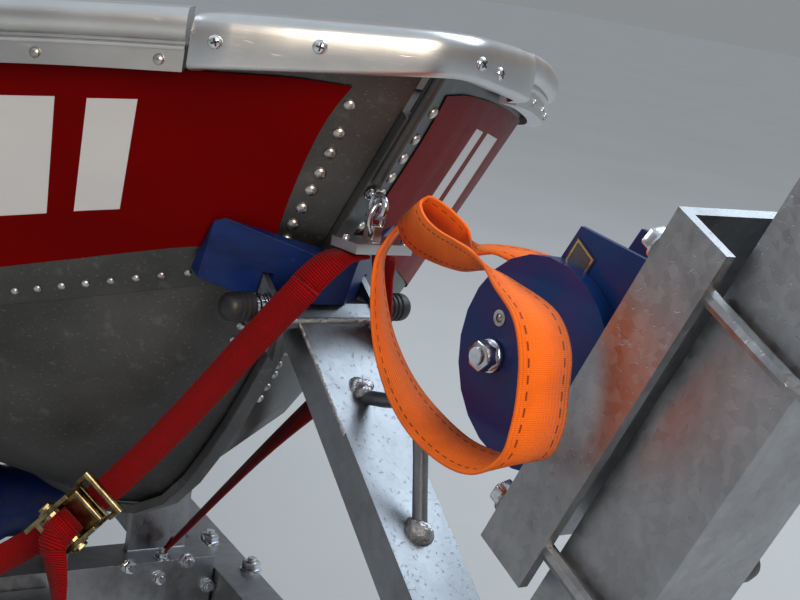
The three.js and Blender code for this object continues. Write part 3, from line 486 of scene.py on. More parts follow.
# %% [markdown]
# ## From shape to piece
# Every shape below is made by Blender's mesh operators in a bmesh, already in its real place.
# Objects could be made and then moved, but a mesh that already lies in its place needs no
# transform, and its finish stays put. One function makes it an object, smooths it except at its
# sharp edges, and lets it ride on a body of the trailer.

# %% Finishing a piece
def piece(name, shape, paint, body=TRAILER, sharp=35, paints=None):
    """Makes a finished piece of a bmesh, riding on a body of the solids."""
    mesh = bpy.data.meshes.new(name)
    shape.to_mesh(mesh)
    shape.free()
    for each in paints or [paint]:
        mesh.materials.append(each.material)
    mesh.shade_smooth()
    mesh.set_sharp_from_angle(angle=math.radians(sharp))
    thing = bpy.data.objects.new(name, mesh)
    bpy.context.scene.collection.objects.link(thing)
    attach(thing, body)
    return thing


print("a finished piece is a mesh, its paint and the body that it rides on")


# %% Placements and bars
def facing(place, direction, spin=0.0):
    """A placement that stands a shape's own Z axis along a direction."""
    turn = direction.to_track_quat("Z", "Y").to_matrix().to_4x4()
    return Matrix.Translation(place) @ turn @ Matrix.Rotation(spin, 4, "Z")


def bar(shape, start, end, radius, sides=16):
    """A round bar between two points."""
    bmesh.ops.create_cone(shape, cap_ends=True, segments=sides, radius1=radius, radius2=radius,
                          depth=(end - start).length, matrix=facing((start + end) / 2, end - start))


print("a bar runs between two points")

# %% [markdown]
# ## Parts made apart
# A rivet is one of hundreds. Making each with an operator is slow, so one ball is made first and
# copied. A part that is spun or bridged is made in a bmesh of its own too, because its normals
# are then recalculated for it alone, and it joins the shape when it is done.

# %% Balls and rivets
def ball_mesh():
    """A small ball that every rivet and weld puddle is a copy of."""
    ball = bmesh.new()
    bmesh.ops.create_uvsphere(ball, u_segments=10, v_segments=6, radius=1)
    mesh = bpy.data.meshes.new("ball")
    ball.to_mesh(mesh)
    ball.free()
    return mesh


BALL = ball_mesh()


def add(shape, mesh):
    """Adds a mesh to a shape and throws the mesh away."""
    shape.from_mesh(mesh)
    bpy.data.meshes.remove(mesh)


def lump(shape, placement):
    """Adds a copy of the ball in a placement."""
    ball = BALL.copy()
    ball.transform(placement)
    add(shape, ball)


DOME = 0.62  # a rivet head's height, as a share of its radius


def rivet(shape, place, direction, radius):
    """A domed head: a flattened ball, half sunk in the plate."""
    lump(shape, facing(place, direction) @ Matrix.Diagonal((radius, radius, radius * DOME, 1)))


print("every rivet is a copy of a ball with", len(BALL.polygons), "faces")


# %% Nuts and slabs
def ease_edges(shape, made, width):
    """Rounds every edge of what an operator has just made."""
    edges = list({edge for vert in made["verts"] for edge in vert.link_edges})
    bmesh.ops.bevel(shape, geom=edges, offset=width, segments=2, profile=0.5,
                    affect="EDGES", material=-1)


def nut(shape, place, direction, across, height, spin=0.0):
    """A hexagon with its corners eased, standing on a surface."""
    middle = place + direction.normalized() * height / 2
    corner = across / 1.73
    made = bmesh.ops.create_cone(shape, cap_ends=True, segments=6, radius1=corner, radius2=corner,
                                 depth=height, matrix=facing(middle, direction, spin))
    ease_edges(shape, made, height * 0.12)


def slab(shape, size, place, ease, turn=Matrix.Identity(4)):
    """A box of the given size about a place, with its edges eased."""
    placement = Matrix.Translation(place) @ turn @ Matrix.Diagonal((*size, 1))
    ease_edges(shape, bmesh.ops.create_cube(shape, size=1, matrix=placement), ease)


print("nuts and slabs have eased edges")


# %% Turned and bent parts
def join(shape, part):
    """Turns a finished part's faces outwards and adds it to a shape."""
    bmesh.ops.recalc_face_normals(part, faces=part.faces)
    mesh = bpy.data.meshes.new("part")
    part.to_mesh(mesh)
    part.free()
    add(shape, mesh)


def turned(shape, outline, place, axis, steps=24):
    """Spins an outline of (radius, height) points round an axis; it may start and end on the axis."""
    axis = axis.normalized()
    side = axis.orthogonal().normalized()
    part = bmesh.new()
    corners = [part.verts.new(place + side * r + axis * h) for r, h in outline]
    rim = [part.edges.new(pair) for pair in zip(corners, corners[1:])]
    if outline[0][0] > 0:
        rim.append(part.edges.new((corners[-1], corners[0])))
    bmesh.ops.spin(part, geom=corners + rim, cent=place, axis=axis, angle=2 * math.pi,
                   steps=steps, use_merge=True)
    bmesh.ops.remove_doubles(part, verts=part.verts, dist=1e-6)
    join(shape, part)


def metres(outline):
    """An outline in millimetres, as metres."""
    return [(r / 1000, h / 1000) for r, h in outline]


def washer(shape, place, direction, radius, hole, height):
    """A flat ring."""
    turned(shape, [(hole, 0), (radius, 0), (radius, height), (hole, height)], place, direction)


def bent_bar(shape, route, radius, sides=10, closed=False):
    """A round bar along points: rings that turn with the route, bridged one to the next."""
    side = (route[1] - route[0]).orthogonal().normalized()
    part = bmesh.new()
    rings, last = [], len(route) - 1
    for i, place in enumerate(route):
        before = route[i - 1] if i or closed else place
        after = route[(i + 1) % len(route)] if i < last or closed else place
        ahead = (after - before).normalized()
        side = (side - ahead * side.dot(ahead)).normalized()
        placement = Matrix.Translation(place) @ axes(side, ahead.cross(side), ahead)
        ring = bmesh.ops.create_circle(part, cap_ends=not closed and i in (0, last), segments=sides,
                                       radius=radius, matrix=placement)
        rings.append(list({edge for vert in ring["verts"] for edge in vert.link_edges}))
    for a, b in zip(rings, rings[1:] + rings[:1] if closed else rings[1:]):
        bmesh.ops.bridge_loops(part, edges=a + b)
    join(shape, part)


print("washers are turned, and rings of bar are bent")

# %% [markdown]
# ## The webbing comes first
# The winch's webbing hangs in a slack loop, and two ratchet straps hold the bow down. Each is
# one ribbon: a short edge that is extruded from stop to stop along a smooth route, and then
# given its thickness. A cloth simulation could find the loop by itself, but the picture already
# shows it, so its stops are written down. Every row stores how far along the strap it lies.

# %% Ribbons along a route
def smooth_route(points, steps):
    """Points along a Catmull-Rom curve through the given ones."""
    ends = [points[0] * 2 - points[1], *points, points[-1] * 2 - points[-2]]
    route = []
    for a, b, c, d in zip(ends, ends[1:], ends[2:], ends[3:]):
        for k in range(steps):
            t = k / steps
            route.append(0.5 * (2 * b + (c - a) * t + (2 * a - 5 * b + 4 * c - d) * t * t
                                + (3 * b - a - 3 * c + d) * t ** 3))
    return route + [points[-1]]


def heading(route, i):
    """The way a route runs at one of its points."""
    return route[min(i + 1, len(route) - 1)] - route[max(i - 1, 0)]


print("three stops give a route of", len(smooth_route([EYE, EYE + AHEAD, EYE + RIGHT], 6)), "points")


# %% A strap with its own UV map
def ribbon(name, stops, width, thick, paint, steps=6, lean=0.0):
    """A strap through stops of (place, direction of its width). Returns it and its length.

    A lean above 0 lets the threads shear, as soft webbing does in a tight curl."""
    route = smooth_route([place for place, _ in stops], steps)
    sides = smooth_route([side for _, side in stops], steps)
    shape = bmesh.new()
    uv = shape.loops.layers.uv.new("strap")
    rows, length = [], 0.0
    edge = shape.edges.new([shape.verts.new(route[0]), shape.verts.new(route[0])])
    for i, place in enumerate(route):
        if i:
            length += (place - route[i - 1]).length
            made = bmesh.ops.extrude_edge_only(shape, edges=[edge])["geom"]
            edge = next(e for e in made if isinstance(e, bmesh.types.BMEdge))
            pair = [v for v in made if isinstance(v, bmesh.types.BMVert)]
        else:
            pair = list(edge.verts)
        ahead = heading(route, i).normalized()
        side = sides[i] - ahead * sides[i].dot(ahead) * (1 - lean)
        side = side.normalized() * width / 2
        if rows:
            first = rows[-1][1][0]
            linked = next(v for v in pair if any(e.other_vert(v) is first for e in v.link_edges))
            pair = [linked, next(v for v in pair if v is not linked)]
        pair[0].co, pair[1].co = place - side, place + side
        rows.append((length, pair))
    where = {v: (s, (k - 0.5) * width) for s, pair in rows for k, v in enumerate(pair)}
    for face in shape.faces:
        for corner in face.loops:
            corner[uv].uv = where[corner.vert]
    bmesh.ops.recalc_face_normals(shape, faces=shape.faces)
    made = piece(name, shape, paint, sharp=60)
    wall = made.modifiers.new("thickness", "SOLIDIFY")
    wall.thickness = thick
    wall.offset = 0
    return made, length


def stops_of(table):
    """Stops from rows of millimetres from the bow and the direction of the width."""
    return [(bow(*stop[:3]), Vector(stop[3:]).normalized()) for stop in table]


print("a strap is a ribbon with a wall")

# %% [markdown]
# ## The winch's webbing
# Orange webbing comes off the drum, sags in a loop behind the bow and curls over the hook plate.
# Each stop is a place in millimetres from the tip of the bow, and the direction in which the
# strap is wide there, so the loop can twist as it does in the picture.

# %% Winch webbing
WEBBING_THICKNESS = 0.0024
LOOP = [
    (150, 0, 1014, 0, 1, 0), (105, 0, 1019, 0, 1, 0), (68, -1, 1014, -0.6, 0.8, 0),
    (39, 0, 1015, -0.83, 0.41, -0.39), (23, -1, 1021, -0.83, 0.36, -0.42),
    (9, -3, 1026, -0.84, 0.34, -0.43), (-6, -8, 1030, -0.85, 0.31, -0.43),
    (-5, -16, 1024, -0.81, 0.34, -0.47), (12, -24, 1016, -0.81, 0.34, -0.48),
    (38, -32, 1012, -0.81, 0.35, -0.47), (78, -46, 1013, -0.79, 0.42, -0.46),
    (118, -61, 1016, -0.74, 0.54, -0.4), (153, -74, 1020, -0.69, 0.7, -0.2),
    (187, -85, 1016, -0.5, 0.86, -0.1), (226, -94, 1007, -0.22, 0.98, -0.03),
    (244, -97, 988, -0.09, 1, -0.01), (250, -98, 963, -0.09, 1, -0.06),
    (251, -98, 940, -0.06, 1, -0.1), (242, -96, 917, -0.15, 0.98, -0.1),
    (213, -93, 902, -0.38, 0.92, 0.05), (172, -87, 896, -0.52, 0.84, 0.12),
    (123, -78, 901, -0.55, 0.81, 0.18), (77, -66, 913, -0.57, 0.82, 0.12),
    (37, -54, 934, -0.6, 0.8, 0.02), (7, -42, 959, -0.63, 0.77, -0.1),
    (-12, -32, 984, -0.69, 0.71, -0.13), (-33, -9, 996, -0.71, 0.69, -0.15),
    (-46, 12, 1006, -0.7, 0.69, -0.15), (-53, 26, 1010, -0.68, 0.71, -0.15),
]
webbing_loop, loop_length = ribbon("winch_webbing", stops_of(LOOP), WEBBING_WIDTH,
                                   WEBBING_THICKNESS, ORANGE, lean=0.8)
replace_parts(webbing_loop, "winch_strap")
print("winch webbing", round(loop_length, 3), "m")

# %% [markdown]
# ## The ratchet straps
# A red strap on either side pulls the bow down on its block. They are drawn tight, so a few stops
# are enough: some round the hook plate, and then a straight run to the frame.

# %% Ratchet straps
NEAR = [
    (-66, -8, 978.5, 1, 0, 0), (-66, -24, 977, 0.95, 0.15, -0.12), (-67, -38, 969, 0.85, 0.33, -0.3),
    (-73, -52, 951, 0.7, 0.5, -0.42), (-84, -64, 926, 0.6, 0.6, -0.5),
    (-276, -104, 695, 0.6, 0.6, -0.5), (-450, -221, 527, 0.5, 0.7, -0.4),
    (-465, -236, 514, 0.5, 0.7, -0.4),
]
FAR = [
    (-66, 8, 978.5, 1, 0, 0), (-70, 18, 976, 1, 0, 0), (-80, 28, 962, 1, 0, 0),
    (-84, 35, 940, 1, 0, 0), (-84, 39, 916, 1, 0, 0), (-85, 39, 898, 1, 0, 0),
    (-106, 40, 868, 1, 0, -0.1), (-150, 52, 840, 0.8, -0.3, -0.4),
    (-300, 100, 733, 0.6, -0.6, -0.5), (-560, 188, 538, 0.5, -0.7, -0.4),
    (-580, 192, 524, 0.5, -0.7, -0.2),
]
for side, route, hook in (("starboard", NEAR, "rail_starboard"), ("port", FAR, "cross_beam_front")):
    strap, length = ribbon(f"ratchet_strap_{side}", stops_of(route), STRAP_WIDTH,
                           WEBBING_THICKNESS, RED)
    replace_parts(strap, f"strap_{side}")
    print("ratchet strap", side, round(length, 3), "m")

# %% [markdown]
# ## Film on the sides
# The sides carry red film with pale slanted blocks near the bow. A film has no shape of its own,
# so a flat grid is stretched to its outline and laid on the plate by rays from outboard. That
# needs the plate's own edges: its top edge, or sheer, and the chine where it meets the bottom.

# %% The hull's own lines
# Places along the boat and heights, in millimetres: the top edge of the side, and the chine.
SHEER = [
    (-84, 1127), (-162, 1114), (-260, 1095), (-405, 1072), (-690, 1045), (-1150, 1022),
    (-1800, 1008), (-2600, 1002), (-3400, 1000), (-4270, 1000),
]
CHINE = [
    (-139, 940), (-190, 920), (-244, 896), (-313, 868), (-432, 832), (-695, 786), (-1150, 748),
    (-1800, 724), (-2600, 714), (-3400, 712), (-4205, 710),
]


def height_along(table):
    """A smooth line of heights, as a function of the place along the boat."""
    line = smooth_route([bow(x, 0, z) for x, z in table], 8)

    def at(x):
        for a, b in zip(line, line[1:]):
            if b.x <= x:
                break
        share = (a.x - x) / (a.x - b.x)
        return a.z + (b.z - a.z) * share
    return at


sheer_at, chine_at = height_along(SHEER), height_along(CHINE)


def on_side(x, z, side, node=None):
    """The point of a hull side at a place along and up, and the way it faces."""
    node = node or ("hull_side_port" if side > 0 else "hull_side_starboard")
    place, way, _, _ = skin(node).ray_cast(Vector((x, side * 1.5, z)), Vector((0, -side, 0)))
    return place, way


print("amidships the side is", round(sheer_at(0) - chine_at(0), 3), "m deep")

# %% [markdown]
# ## Laying the film
# The film stops short of the stem along a slanted edge. Behind that edge its columns are wider
# apart, so it lies a little further off, or it would cut into the plate's curve. Each block is
# given by the four pixels of its corners. A painted pattern could make the blocks too, but planes
# that cut the film keep their edges crisp at any distance.

# %% Film with its blocks
FILM_FRONT = [seen(x, y, "hull_side_starboard")[0].x for x, y in ((271, 235), (354, 88))]
FILM_AFT = -2.2
CAP_ENDS = 1.79  # ahead of this the bow cap hides the side's top edge
COLUMNS, ROWS = 200, 8
BLOCK_REACH = 0.35  # only faces this near to a block's middle can belong to it
BLOCKS = [
    [(87, 97), (138, 98), (120, 208), (74, 210)], [(-50, 92), (55, 95), (47, 212), (-56, 217)],
]


def film_on_starboard():
    """A grid laid on the starboard plate, just off it."""
    shape = bmesh.new()
    bmesh.ops.create_grid(shape, x_segments=COLUMNS, y_segments=ROWS, size=0.5)
    for vert in shape.verts:
        u, v = vert.co.x + 0.5, vert.co.y + 0.5
        x = FILM_FRONT[0] + (FILM_FRONT[1] - FILM_FRONT[0]) * v
        x += (FILM_AFT - x) * u ** 1.25
        low, high = chine_at(x) + 0.032, sheer_at(min(x, CAP_ENDS)) - 0.017
        place, way = on_side(x, low + (high - low) * v, -1)
        vert.co = place + way * (0.0014 + 0.0012 * min(1, u * 6))
    bmesh.ops.recalc_face_normals(shape, faces=shape.faces)
    if sum(face.normal.y for face in shape.faces) > 0:
        bmesh.ops.reverse_faces(shape, faces=shape.faces)
    return shape


def paint_block(shape, corners):
    """Cuts a block's four edges into the film and gives what lies between them the pale film."""
    marks = [seen(x, y, "hull_side_starboard") for x, y in corners]
    middle = sum((place for place, _ in marks), Vector()) / 4
    planes = []
    for (a, way), (b, _) in zip(marks, marks[1:] + marks[:1]):
        across = (b - a).cross(way).normalized()
        across *= 1 if across.dot(middle - a) > 0 else -1
        planes.append((a, across))
        near = [f for f in shape.faces if (f.calc_center_median() - middle).length < BLOCK_REACH]
        parts = {v for f in near for v in f.verts} | {e for f in near for e in f.edges} | set(near)
        bmesh.ops.bisect_plane(shape, geom=list(parts), dist=1e-6, plane_co=a, plane_no=across)
    for face in shape.faces:
        center = face.calc_center_median()
        inside = all((center - a).dot(n) > 0 for a, n in planes)
        if (center - middle).length < BLOCK_REACH and inside:
            face.material_index = 1


for side in ("starboard", "port"):
    shape = film_on_starboard()
    for corners in BLOCKS:
        paint_block(shape, corners)
    if side == "port":
        bmesh.ops.scale(shape, vec=(1, -1, 1), verts=shape.verts)
        bmesh.ops.reverse_faces(shape, faces=shape.faces)
    piece(f"film_{side}", shape, RED_FILM, paints=[RED_FILM, PALE_FILM])
print("two films with", len(BLOCKS), "blocks each")

# %% [markdown]
# ## Rivets and screws
# A riveted hull is held by hundreds of domed heads, set on a pitch that the eye reads at once:
# close along the chine and wider up the stem. Each head is a flattened ball with few faces, set
# on the plate by a ray, and each row is one piece.

# %% Rivets of the stem, chine and bottom
# The pixels where the picture shows each head of the stem's row and of the row below the chine.
STEM_RIVETS = [
    (349.5, 105), (339, 133), (330, 153), (320, 173), (311, 190), (302, 208), (293, 224),
    (286, 240),
]
LOWER_RIVETS = [
    (241, 326), (234, 340), (227, 353), (220, 366), (212, 376), (204, 389), (196, 401),
]


def both_sides(shape, marks, radius):
    """Rivets at the marks of the starboard side and at their mirror images."""
    for place, way in marks:
        rivet(shape, place, way, radius)
        rivet(shape, other_side(place), other_side(way), radius)


stem_row = bmesh.new()
both_sides(stem_row, [seen(x, y, "hull_side_starboard") for x, y in STEM_RIVETS], 0.0056)
both_sides(stem_row, [seen(x, y, "hull_bottom") for x, y in LOWER_RIVETS], 0.0042)
piece("stem_rivets", stem_row, STUD, sharp=80)

chine_row = bmesh.new()
x, count = BOW - 0.176, 0
while x > -2.3:
    mark = on_side(x, chine_at(x) + 0.011, -1)
    both_sides(chine_row, [mark], 0.0036)
    x -= 0.0125 if x > 1.3 else 0.024
    count += 2
piece("chine_rivets", chine_row, STUD, sharp=80)
print(count, "rivets along the chines")

# %% [markdown]
# ## Rows further aft
# The picture stops before the seats. Their rows follow what holds such a hull together: a column
# of heads at the end of each seat and frame, and one row along the rail's flange.

# %% Rivets of the seats and frames
FRAMES = (1.115, 0.62, 0.08, -0.08, -0.37, -0.9, -1.38, -1.52, -1.82)
frame_rows = bmesh.new()
for x in FRAMES:
    step = (sheer_at(x) - chine_at(x) - 0.07) / 6
    marks = [on_side(x, chine_at(x) + 0.03 + step * k, -1) for k in range(7)]
    both_sides(frame_rows, marks, 0.004)
piece("frame_rivets", frame_rows, STUD, sharp=80)

rail_row = bmesh.new()
x, step = 1.762, 0.0575
while x > -2.35:
    mark = on_side(x, sheer_at(x) - 0.0135, -1, "gunwale_starboard")
    if mark[0]:
        both_sides(rail_row, [(mark[0] - mark[1] * 0.0105, mark[1])], 0.0046)
    x -= step
    step = min(step + 0.006, 0.09)
piece("gunwale_rivets", rail_row, STUD, sharp=80)
print("rivets at the seats, frames and gunwales")

# %% [markdown]
# ## Screws of the bow cap
# Four pan head screws hold the cap. A cut cross would need a boolean for each, so a pair of dark
# wedges, sunk in the dome, stands for it: they are painted shade, the dark of the cross's recess.

# %% Cross-head screws of the bow cap
def cross_screw(heads, slot_shades, place, way, radius, spin):
    """A pan head with a cross in it: the cross is a pair of dark wedges set in the dome, the painted
    shade of its recess.
    """
    bmesh.ops.create_uvsphere(heads, u_segments=20, v_segments=10, radius=radius,
                              matrix=facing(place, way) @ Matrix.Diagonal((1, 1, 0.5, 1)))
    for turn in (0, math.pi / 2):
        size = Matrix.Diagonal((radius * 1.15, radius * 0.26, radius * 0.36, 1))
        placement = facing(place + way * radius * 0.36, way, spin + turn)
        bmesh.ops.create_cube(slot_shades, size=1, matrix=placement @ size)


heads, slot_shades = bmesh.new(), bmesh.new()
for k, (x, y) in enumerate([(215, 42), (320, 47), (482, 64), (500, 74)]):
    place, way = seen(x, y, "bow_cap")
    cross_screw(heads, slot_shades, place, way, 0.0056, 0.4 + k)
piece("cap_screws", heads, BRIGHT, sharp=60)
# The dark wedges are painted shade in the cross recess of each screw.
piece("cap_screw_slot_shades", slot_shades, RUBBER)
print("four screws hold the bow cap")

# %% [markdown]
# ## The rail round the boat
# The gunwale is an extrusion with a round bead on top, a groove under it, a thin ridge, and a
# flat flange that is riveted to the side. Its section is swept along the solid rail: rays find
# the rail's outer face, and each ring is bridged to the next. A curve with a bevel object
# would be shorter to write, but it twists where the sheer turns in towards the bow.

# %% A section carried along a route
def swept(name, sections):
    """Rings of points, each bridged to the next, with a face on the first and the last."""
    shape = bmesh.new()
    rings = []
    for i, section in enumerate(sections):
        verts = [shape.verts.new(point) for point in section]
        rings.append([shape.edges.new(pair) for pair in zip(verts, verts[1:] + verts[:1])])
        if i in (0, len(sections) - 1):
            shape.faces.new(verts)
    for a, b in zip(rings, rings[1:]):
        bmesh.ops.bridge_loops(shape, edges=a + b)
    bmesh.ops.recalc_face_normals(shape, faces=shape.faces)
    return piece(name, shape, EXTRUDED, sharp=50)


print("a section can be swept")

# %% [markdown]
# ## The cap round the bow
# A bent plate closes the rail round the nose. It has the rail's bead and a deeper skirt, and its
# top and skirt come closer together towards the tip. Rays from ahead find the solid cap's face
# every five degrees.

# %% The cap's section round the nose
CAP_SWEEP = 85  # degrees to each side
# Millimetres outwards from the cap's outer face and upwards from the sheer.
CAP = [
    (-48, 27), (-11, 27), (-6.5, 26), (-3, 23.4), (-0.8, 19), (0, 13), (0, -11), (-1, -14),
    (-3.5, -15.6), (-7, -16), (-14, -16), (-15, -14), (-15, 2.5), (-48, 2.5),
]


def cap_piece():
    """The cap's section swept round the nose. It gets lower towards the tip."""
    middle = bow(-118, 0, 0)
    spread = [math.radians(a) for a in range(-CAP_SWEEP, CAP_SWEEP + 1, 5)]
    outer = []
    for angle in spread:
        way = Vector((math.cos(angle), math.sin(angle), 0))
        spot = middle + way * 0.5 + UPWARD * (sheer_at(middle.x + way.x * 0.12) + 0.005)
        outer.append(skin("bow_cap").ray_cast(spot, -way)[0])
    sections = []
    for i, place in enumerate(outer):
        out = heading(outer, i).cross(UPWARD).normalized()
        tip = 1 - abs(spread[i]) / math.radians(CAP_SWEEP)
        base = Vector((place.x, place.y, sheer_at(place.x - 0.02)))
        ring = []
        for o, u in CAP:
            up = u - 3 * tip if u > 10 else u + 6 * tip if u < 0 else u
            ring.append(base + out * (o / 1000) + UPWARD * (up / 1000))
        sections.append(ring)
    return swept("bow_cap_plate", sections)


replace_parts(cap_piece(), "bow_cap")
print("the cap reaches", CAP_SWEEP, "degrees round to each side")

# %% [markdown]
# ## The rail along the sides
# Each station is a point on the rail's outer face. Stations stand close together at the bow, where
# the rail curves most, and the far side is the mirror image of the near one.

# %% The rail's section along the sheer
# Millimetres outwards from the rail's outer face and upwards from the sheer.
RAIL = [
    (-42, 26), (-9, 26), (-4, 24.5), (-1, 21), (0, 15.5), (-0.6, 9), (-3, 4), (-7, 1.2),
    (-9.5, 0.6), (-9.5, -1.4), (-7.5, -2), (-6.8, -3.6), (-7.6, -5.2), (-10.5, -5.6),
    (-10.5, -22), (-25.5, -22), (-25.5, 2.5), (-42, 2.5),
]


def rail_stations():
    """Points along the middle of the starboard rail's outer face, from the cap to the transom."""
    coarse = [BOW - 0.1013, 1.74, 1.70, 1.62, 1.52, 1.40, 1.25, 1.05, 0.75, 0.4, 0, -0.4, -0.8,
              -1.2, -1.6, -2.0, -2.35, -2.39]
    places = [on_side(x, sheer_at(x) + 0.005, -1, "gunwale_starboard")[0] for x in coarse]
    return smooth_route([place for place in places if place], 4)


def rail_piece(name, side):
    """The rail's section carried along one side."""
    route = rail_stations()
    sections = []
    for i, place in enumerate(route):
        out = heading(route, i).cross(UPWARD).normalized()
        out *= 1 if out.y < 0 else -1
        base = Vector((place.x, place.y, sheer_at(place.x)))
        ring = [base + out * (o / 1000) + UPWARD * (u / 1000) for o, u in RAIL]
        sections.append([other_side(point) if side > 0 else point for point in ring])
    return swept(name, sections)


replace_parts(rail_piece("rail_bead_starboard", -1), "gunwale_starboard")
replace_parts(rail_piece("rail_bead_port", 1), "gunwale_port")
print("the rail has", len(rail_stations()), "stations")

# %% [markdown]
# ## Eye, shackle and hook plate
# An eye bolt comes out of the stem bar on a spring washer. A shackle of bright bar hangs in it and
# carries the slotted plate that the webbing and both straps hook into. A ring of points and a
# bridged bar make the round parts, which a torus can't, because the shackle is an oval.

# %% Eye bolt and shackle
EYE_MIDDLE = bow(-64.2, 0, 1017.6)


def circle(middle, u, v, radius, count):
    """Points round a circle that lies in the plane of two directions."""
    return [middle + (u * math.cos(a) + v * math.sin(a)) * radius
            for a in (2 * math.pi * k / count for k in range(count))]


eye = bmesh.new()
bent_bar(eye, circle(EYE_MIDDLE, FORWARD, UPWARD, 0.0088, 28), 0.0028, 12, closed=True)
shank = Vector((0.78, 0, -0.62))
bar(eye, EYE_MIDDLE - shank * 0.0135, EYE_MIDDLE - shank * 0.0085, 0.003)
for k in range(2):
    foot = EYE_MIDDLE - shank * (0.0135 - 0.0014 * k)
    washer(eye, foot, shank, 0.0062 - 0.0006 * k, 0.003, 0.0011)
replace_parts(piece("eye_bolt", eye, BRIGHT), "bow_eye")

bow_shackle = bmesh.new()
shackle_low = 0.996
middle = (EYE_MIDDLE.z + shackle_low) / 2
half = (EYE_MIDDLE.z - shackle_low) / 2 + 0.001
links = [Vector((EYE_MIDDLE.x, 0.0062 * math.cos(a), middle + half * math.sin(a)))
         for a in (2 * math.pi * k / 32 for k in range(32))]
bent_bar(bow_shackle, links, 0.0022, 12, closed=True)
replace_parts(piece("shackle", bow_shackle, BRIGHT), "link")

ridge = bmesh.new()
ridge_top, ridge_foot = bow(-13, 0, 1131), bow(-70, 0, 1036)
bent_bar(ridge, [ridge_top.lerp(ridge_foot, k / 6) for k in range(7)], 0.0052, 12)
piece("stem_ridge", ridge, MILL)
print("eye bolt, shackle and stem ridge")

# %% [markdown]
# ## Nuts on the hook plate
# Two small nuts stand on the plate, one on either side of the shackle.

# %% Fasteners of the hook plate
pins = bmesh.new()
for x, y in ((-76, -18), (-58, 27)):
    place = bow(x, y, 989)
    washer(pins, place, UPWARD, 0.0034, 0.0016, 0.0008)
    nut(pins, place + UPWARD * 0.0006, UPWARD, 0.0052, 0.0026, 0.3)
piece("hook_plate_nuts", pins, BRIGHT)

# %% [markdown]
# ## Rubber stops
# A rubber bumper stands out on either side of the bow, screwed against a stack of bright washers.
# Turning its outline round the bolt gives the dome and the ribs at once.

# %% Stops and their bolts
# The outline is given as millimetres from the bolt's axis and along it.
RUBBER_STOP = [
    (0, 94), (5, 93.6), (8.5, 92), (10.8, 89.5), (11.8, 86.5), (12, 82), (10.9, 81), (10.9, 80),
    (12, 79), (12, 77.4), (10.9, 76.4), (10.9, 75.4), (12, 74.4), (12, 72.8), (10.9, 71.8),
    (10.9, 70.8), (12, 69.8), (12, 67.2), (0, 67),
]
rubbers, stacks = bmesh.new(), bmesh.new()
for side in (-1, 1):
    axis = ACROSS * side
    foot = bow(-121, 0, 921)
    turned(rubbers, metres(RUBBER_STOP), foot, axis, 28)
    for k, (r, thick) in enumerate([(11, 2.6), (10.4, 2), (11, 2.6), (9.4, 4.6)]):
        start = 0.0526 + 0.0035 * k
        washer(stacks, foot + axis * start, axis, r / 1000, 0.004, thick / 1000)
    bar(stacks, foot + axis * 0.053, foot + axis * 0.0672, 0.0045)
bar(stacks, bow(-121, -60, 912.5), bow(-121, 60, 912.5), 0.005)
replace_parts(piece("stop_rubbers", rubbers, RUBBER), "stop_bolt")
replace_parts(piece("stop_washers", stacks, BRIGHT), "stop_bolt")
print("two stops")

# %% [markdown]
# ## Welds
# A weld is a row of frozen puddles, each lapping the last. A row of flattened balls with a small
# step between them reads as that at any distance, and the weld's own bump adds the ripples.

# %% Weld beads
PUDDLE_STEP = 0.6  # from one puddle to the next, in radii
SEAMS = [  # how far out a seam lies, its points along and up, and the bead's radius
    (32, [(-98, 912), (-60, 880), (-20, 845)], 0.0018),
    (46, [(-99, 913), (-106, 921), (-128, 926)], 0.003),
    (52, [(-103, 903), (-112, 888), (-129, 896)], 0.0022),
]


def weld_bead(shape, route, radius):
    """Puddles along a route of points."""
    run = 0.0
    for a, b in zip(route, route[1:]):
        length = (b - a).length
        while run < length:
            place = a.lerp(b, run / length)
            lump(shape, facing(place, b - a) @ Matrix.Diagonal((radius, radius, radius * 0.8, 1)))
            run += radius * PUDDLE_STEP
        run -= length


beads = bmesh.new()
for side in (-1, 1):
    for y, points, radius in SEAMS:
        weld_bead(beads, [bow(x, y * side, z) for x, z in points], radius)
weld_bead(beads, [bow(-99, -52, 915), bow(-99, 52, 915)], 0.0028)
for x, z, away in ((-50, 870.5, (0.8, 0, 0.6)), (48, 783, (0.66, 0, 0.75))):
    away = Vector(away).normalized()
    flat = away.cross(ACROSS)
    for radius, lift in ((0.0088, -0.001), (0.0072, 0.0012)):
        ring = circle(bow(x, 0, z) + away * lift, ACROSS, flat, radius, 20)
        weld_bead(beads, ring + ring[:1], 0.0036)
for x, y, size in ((419, 532, 11.5), (412, 526, 9), (427, 537, 8.5), (360, 391, 9), (367, 385, 7)):
    place, way = seen(x, y, "bow_arm")
    lump(beads, facing(place, way) @ Matrix.Diagonal((size / 1000, size / 1250, size / 2200, 1)))
piece("arm_welds", beads, WELD, sharp=80)
print("welds on the bow arm")

# %% [markdown]
# ## The winch
# The drum sits behind a round cover. The crank's shaft comes through it and ends in a hexagon nut.
# A few turns of webbing are wound on the drum: the same ribbon, along a spiral.

# %% Drum with its wound webbing
WINCH = bow(181, 0, 960)
TURNS, INNER, OUTER = 6, 0.0125, 0.0285
TURN_POINTS = 30  # points in one turn of the spiral
ROLL_WIDTH = 0.037


def spiral(middle):
    """Points of the wound webbing, from the spool outwards."""
    count = TURNS * TURN_POINTS
    for k in range(count + 1):
        angle, r = 2 * math.pi * k / TURN_POINTS, INNER + (OUTER - INNER) * k / count
        yield middle + Vector((math.cos(angle), 0, math.sin(angle))) * r


roll = [(place, ACROSS) for place in spiral(bow(181, -2, 960))]
drum_roll, roll_length = ribbon("drum_webbing", roll, ROLL_WIDTH, 0.0022, ORANGE, 1)
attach(drum_roll, "drum")
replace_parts(drum_roll, "winch_drum")

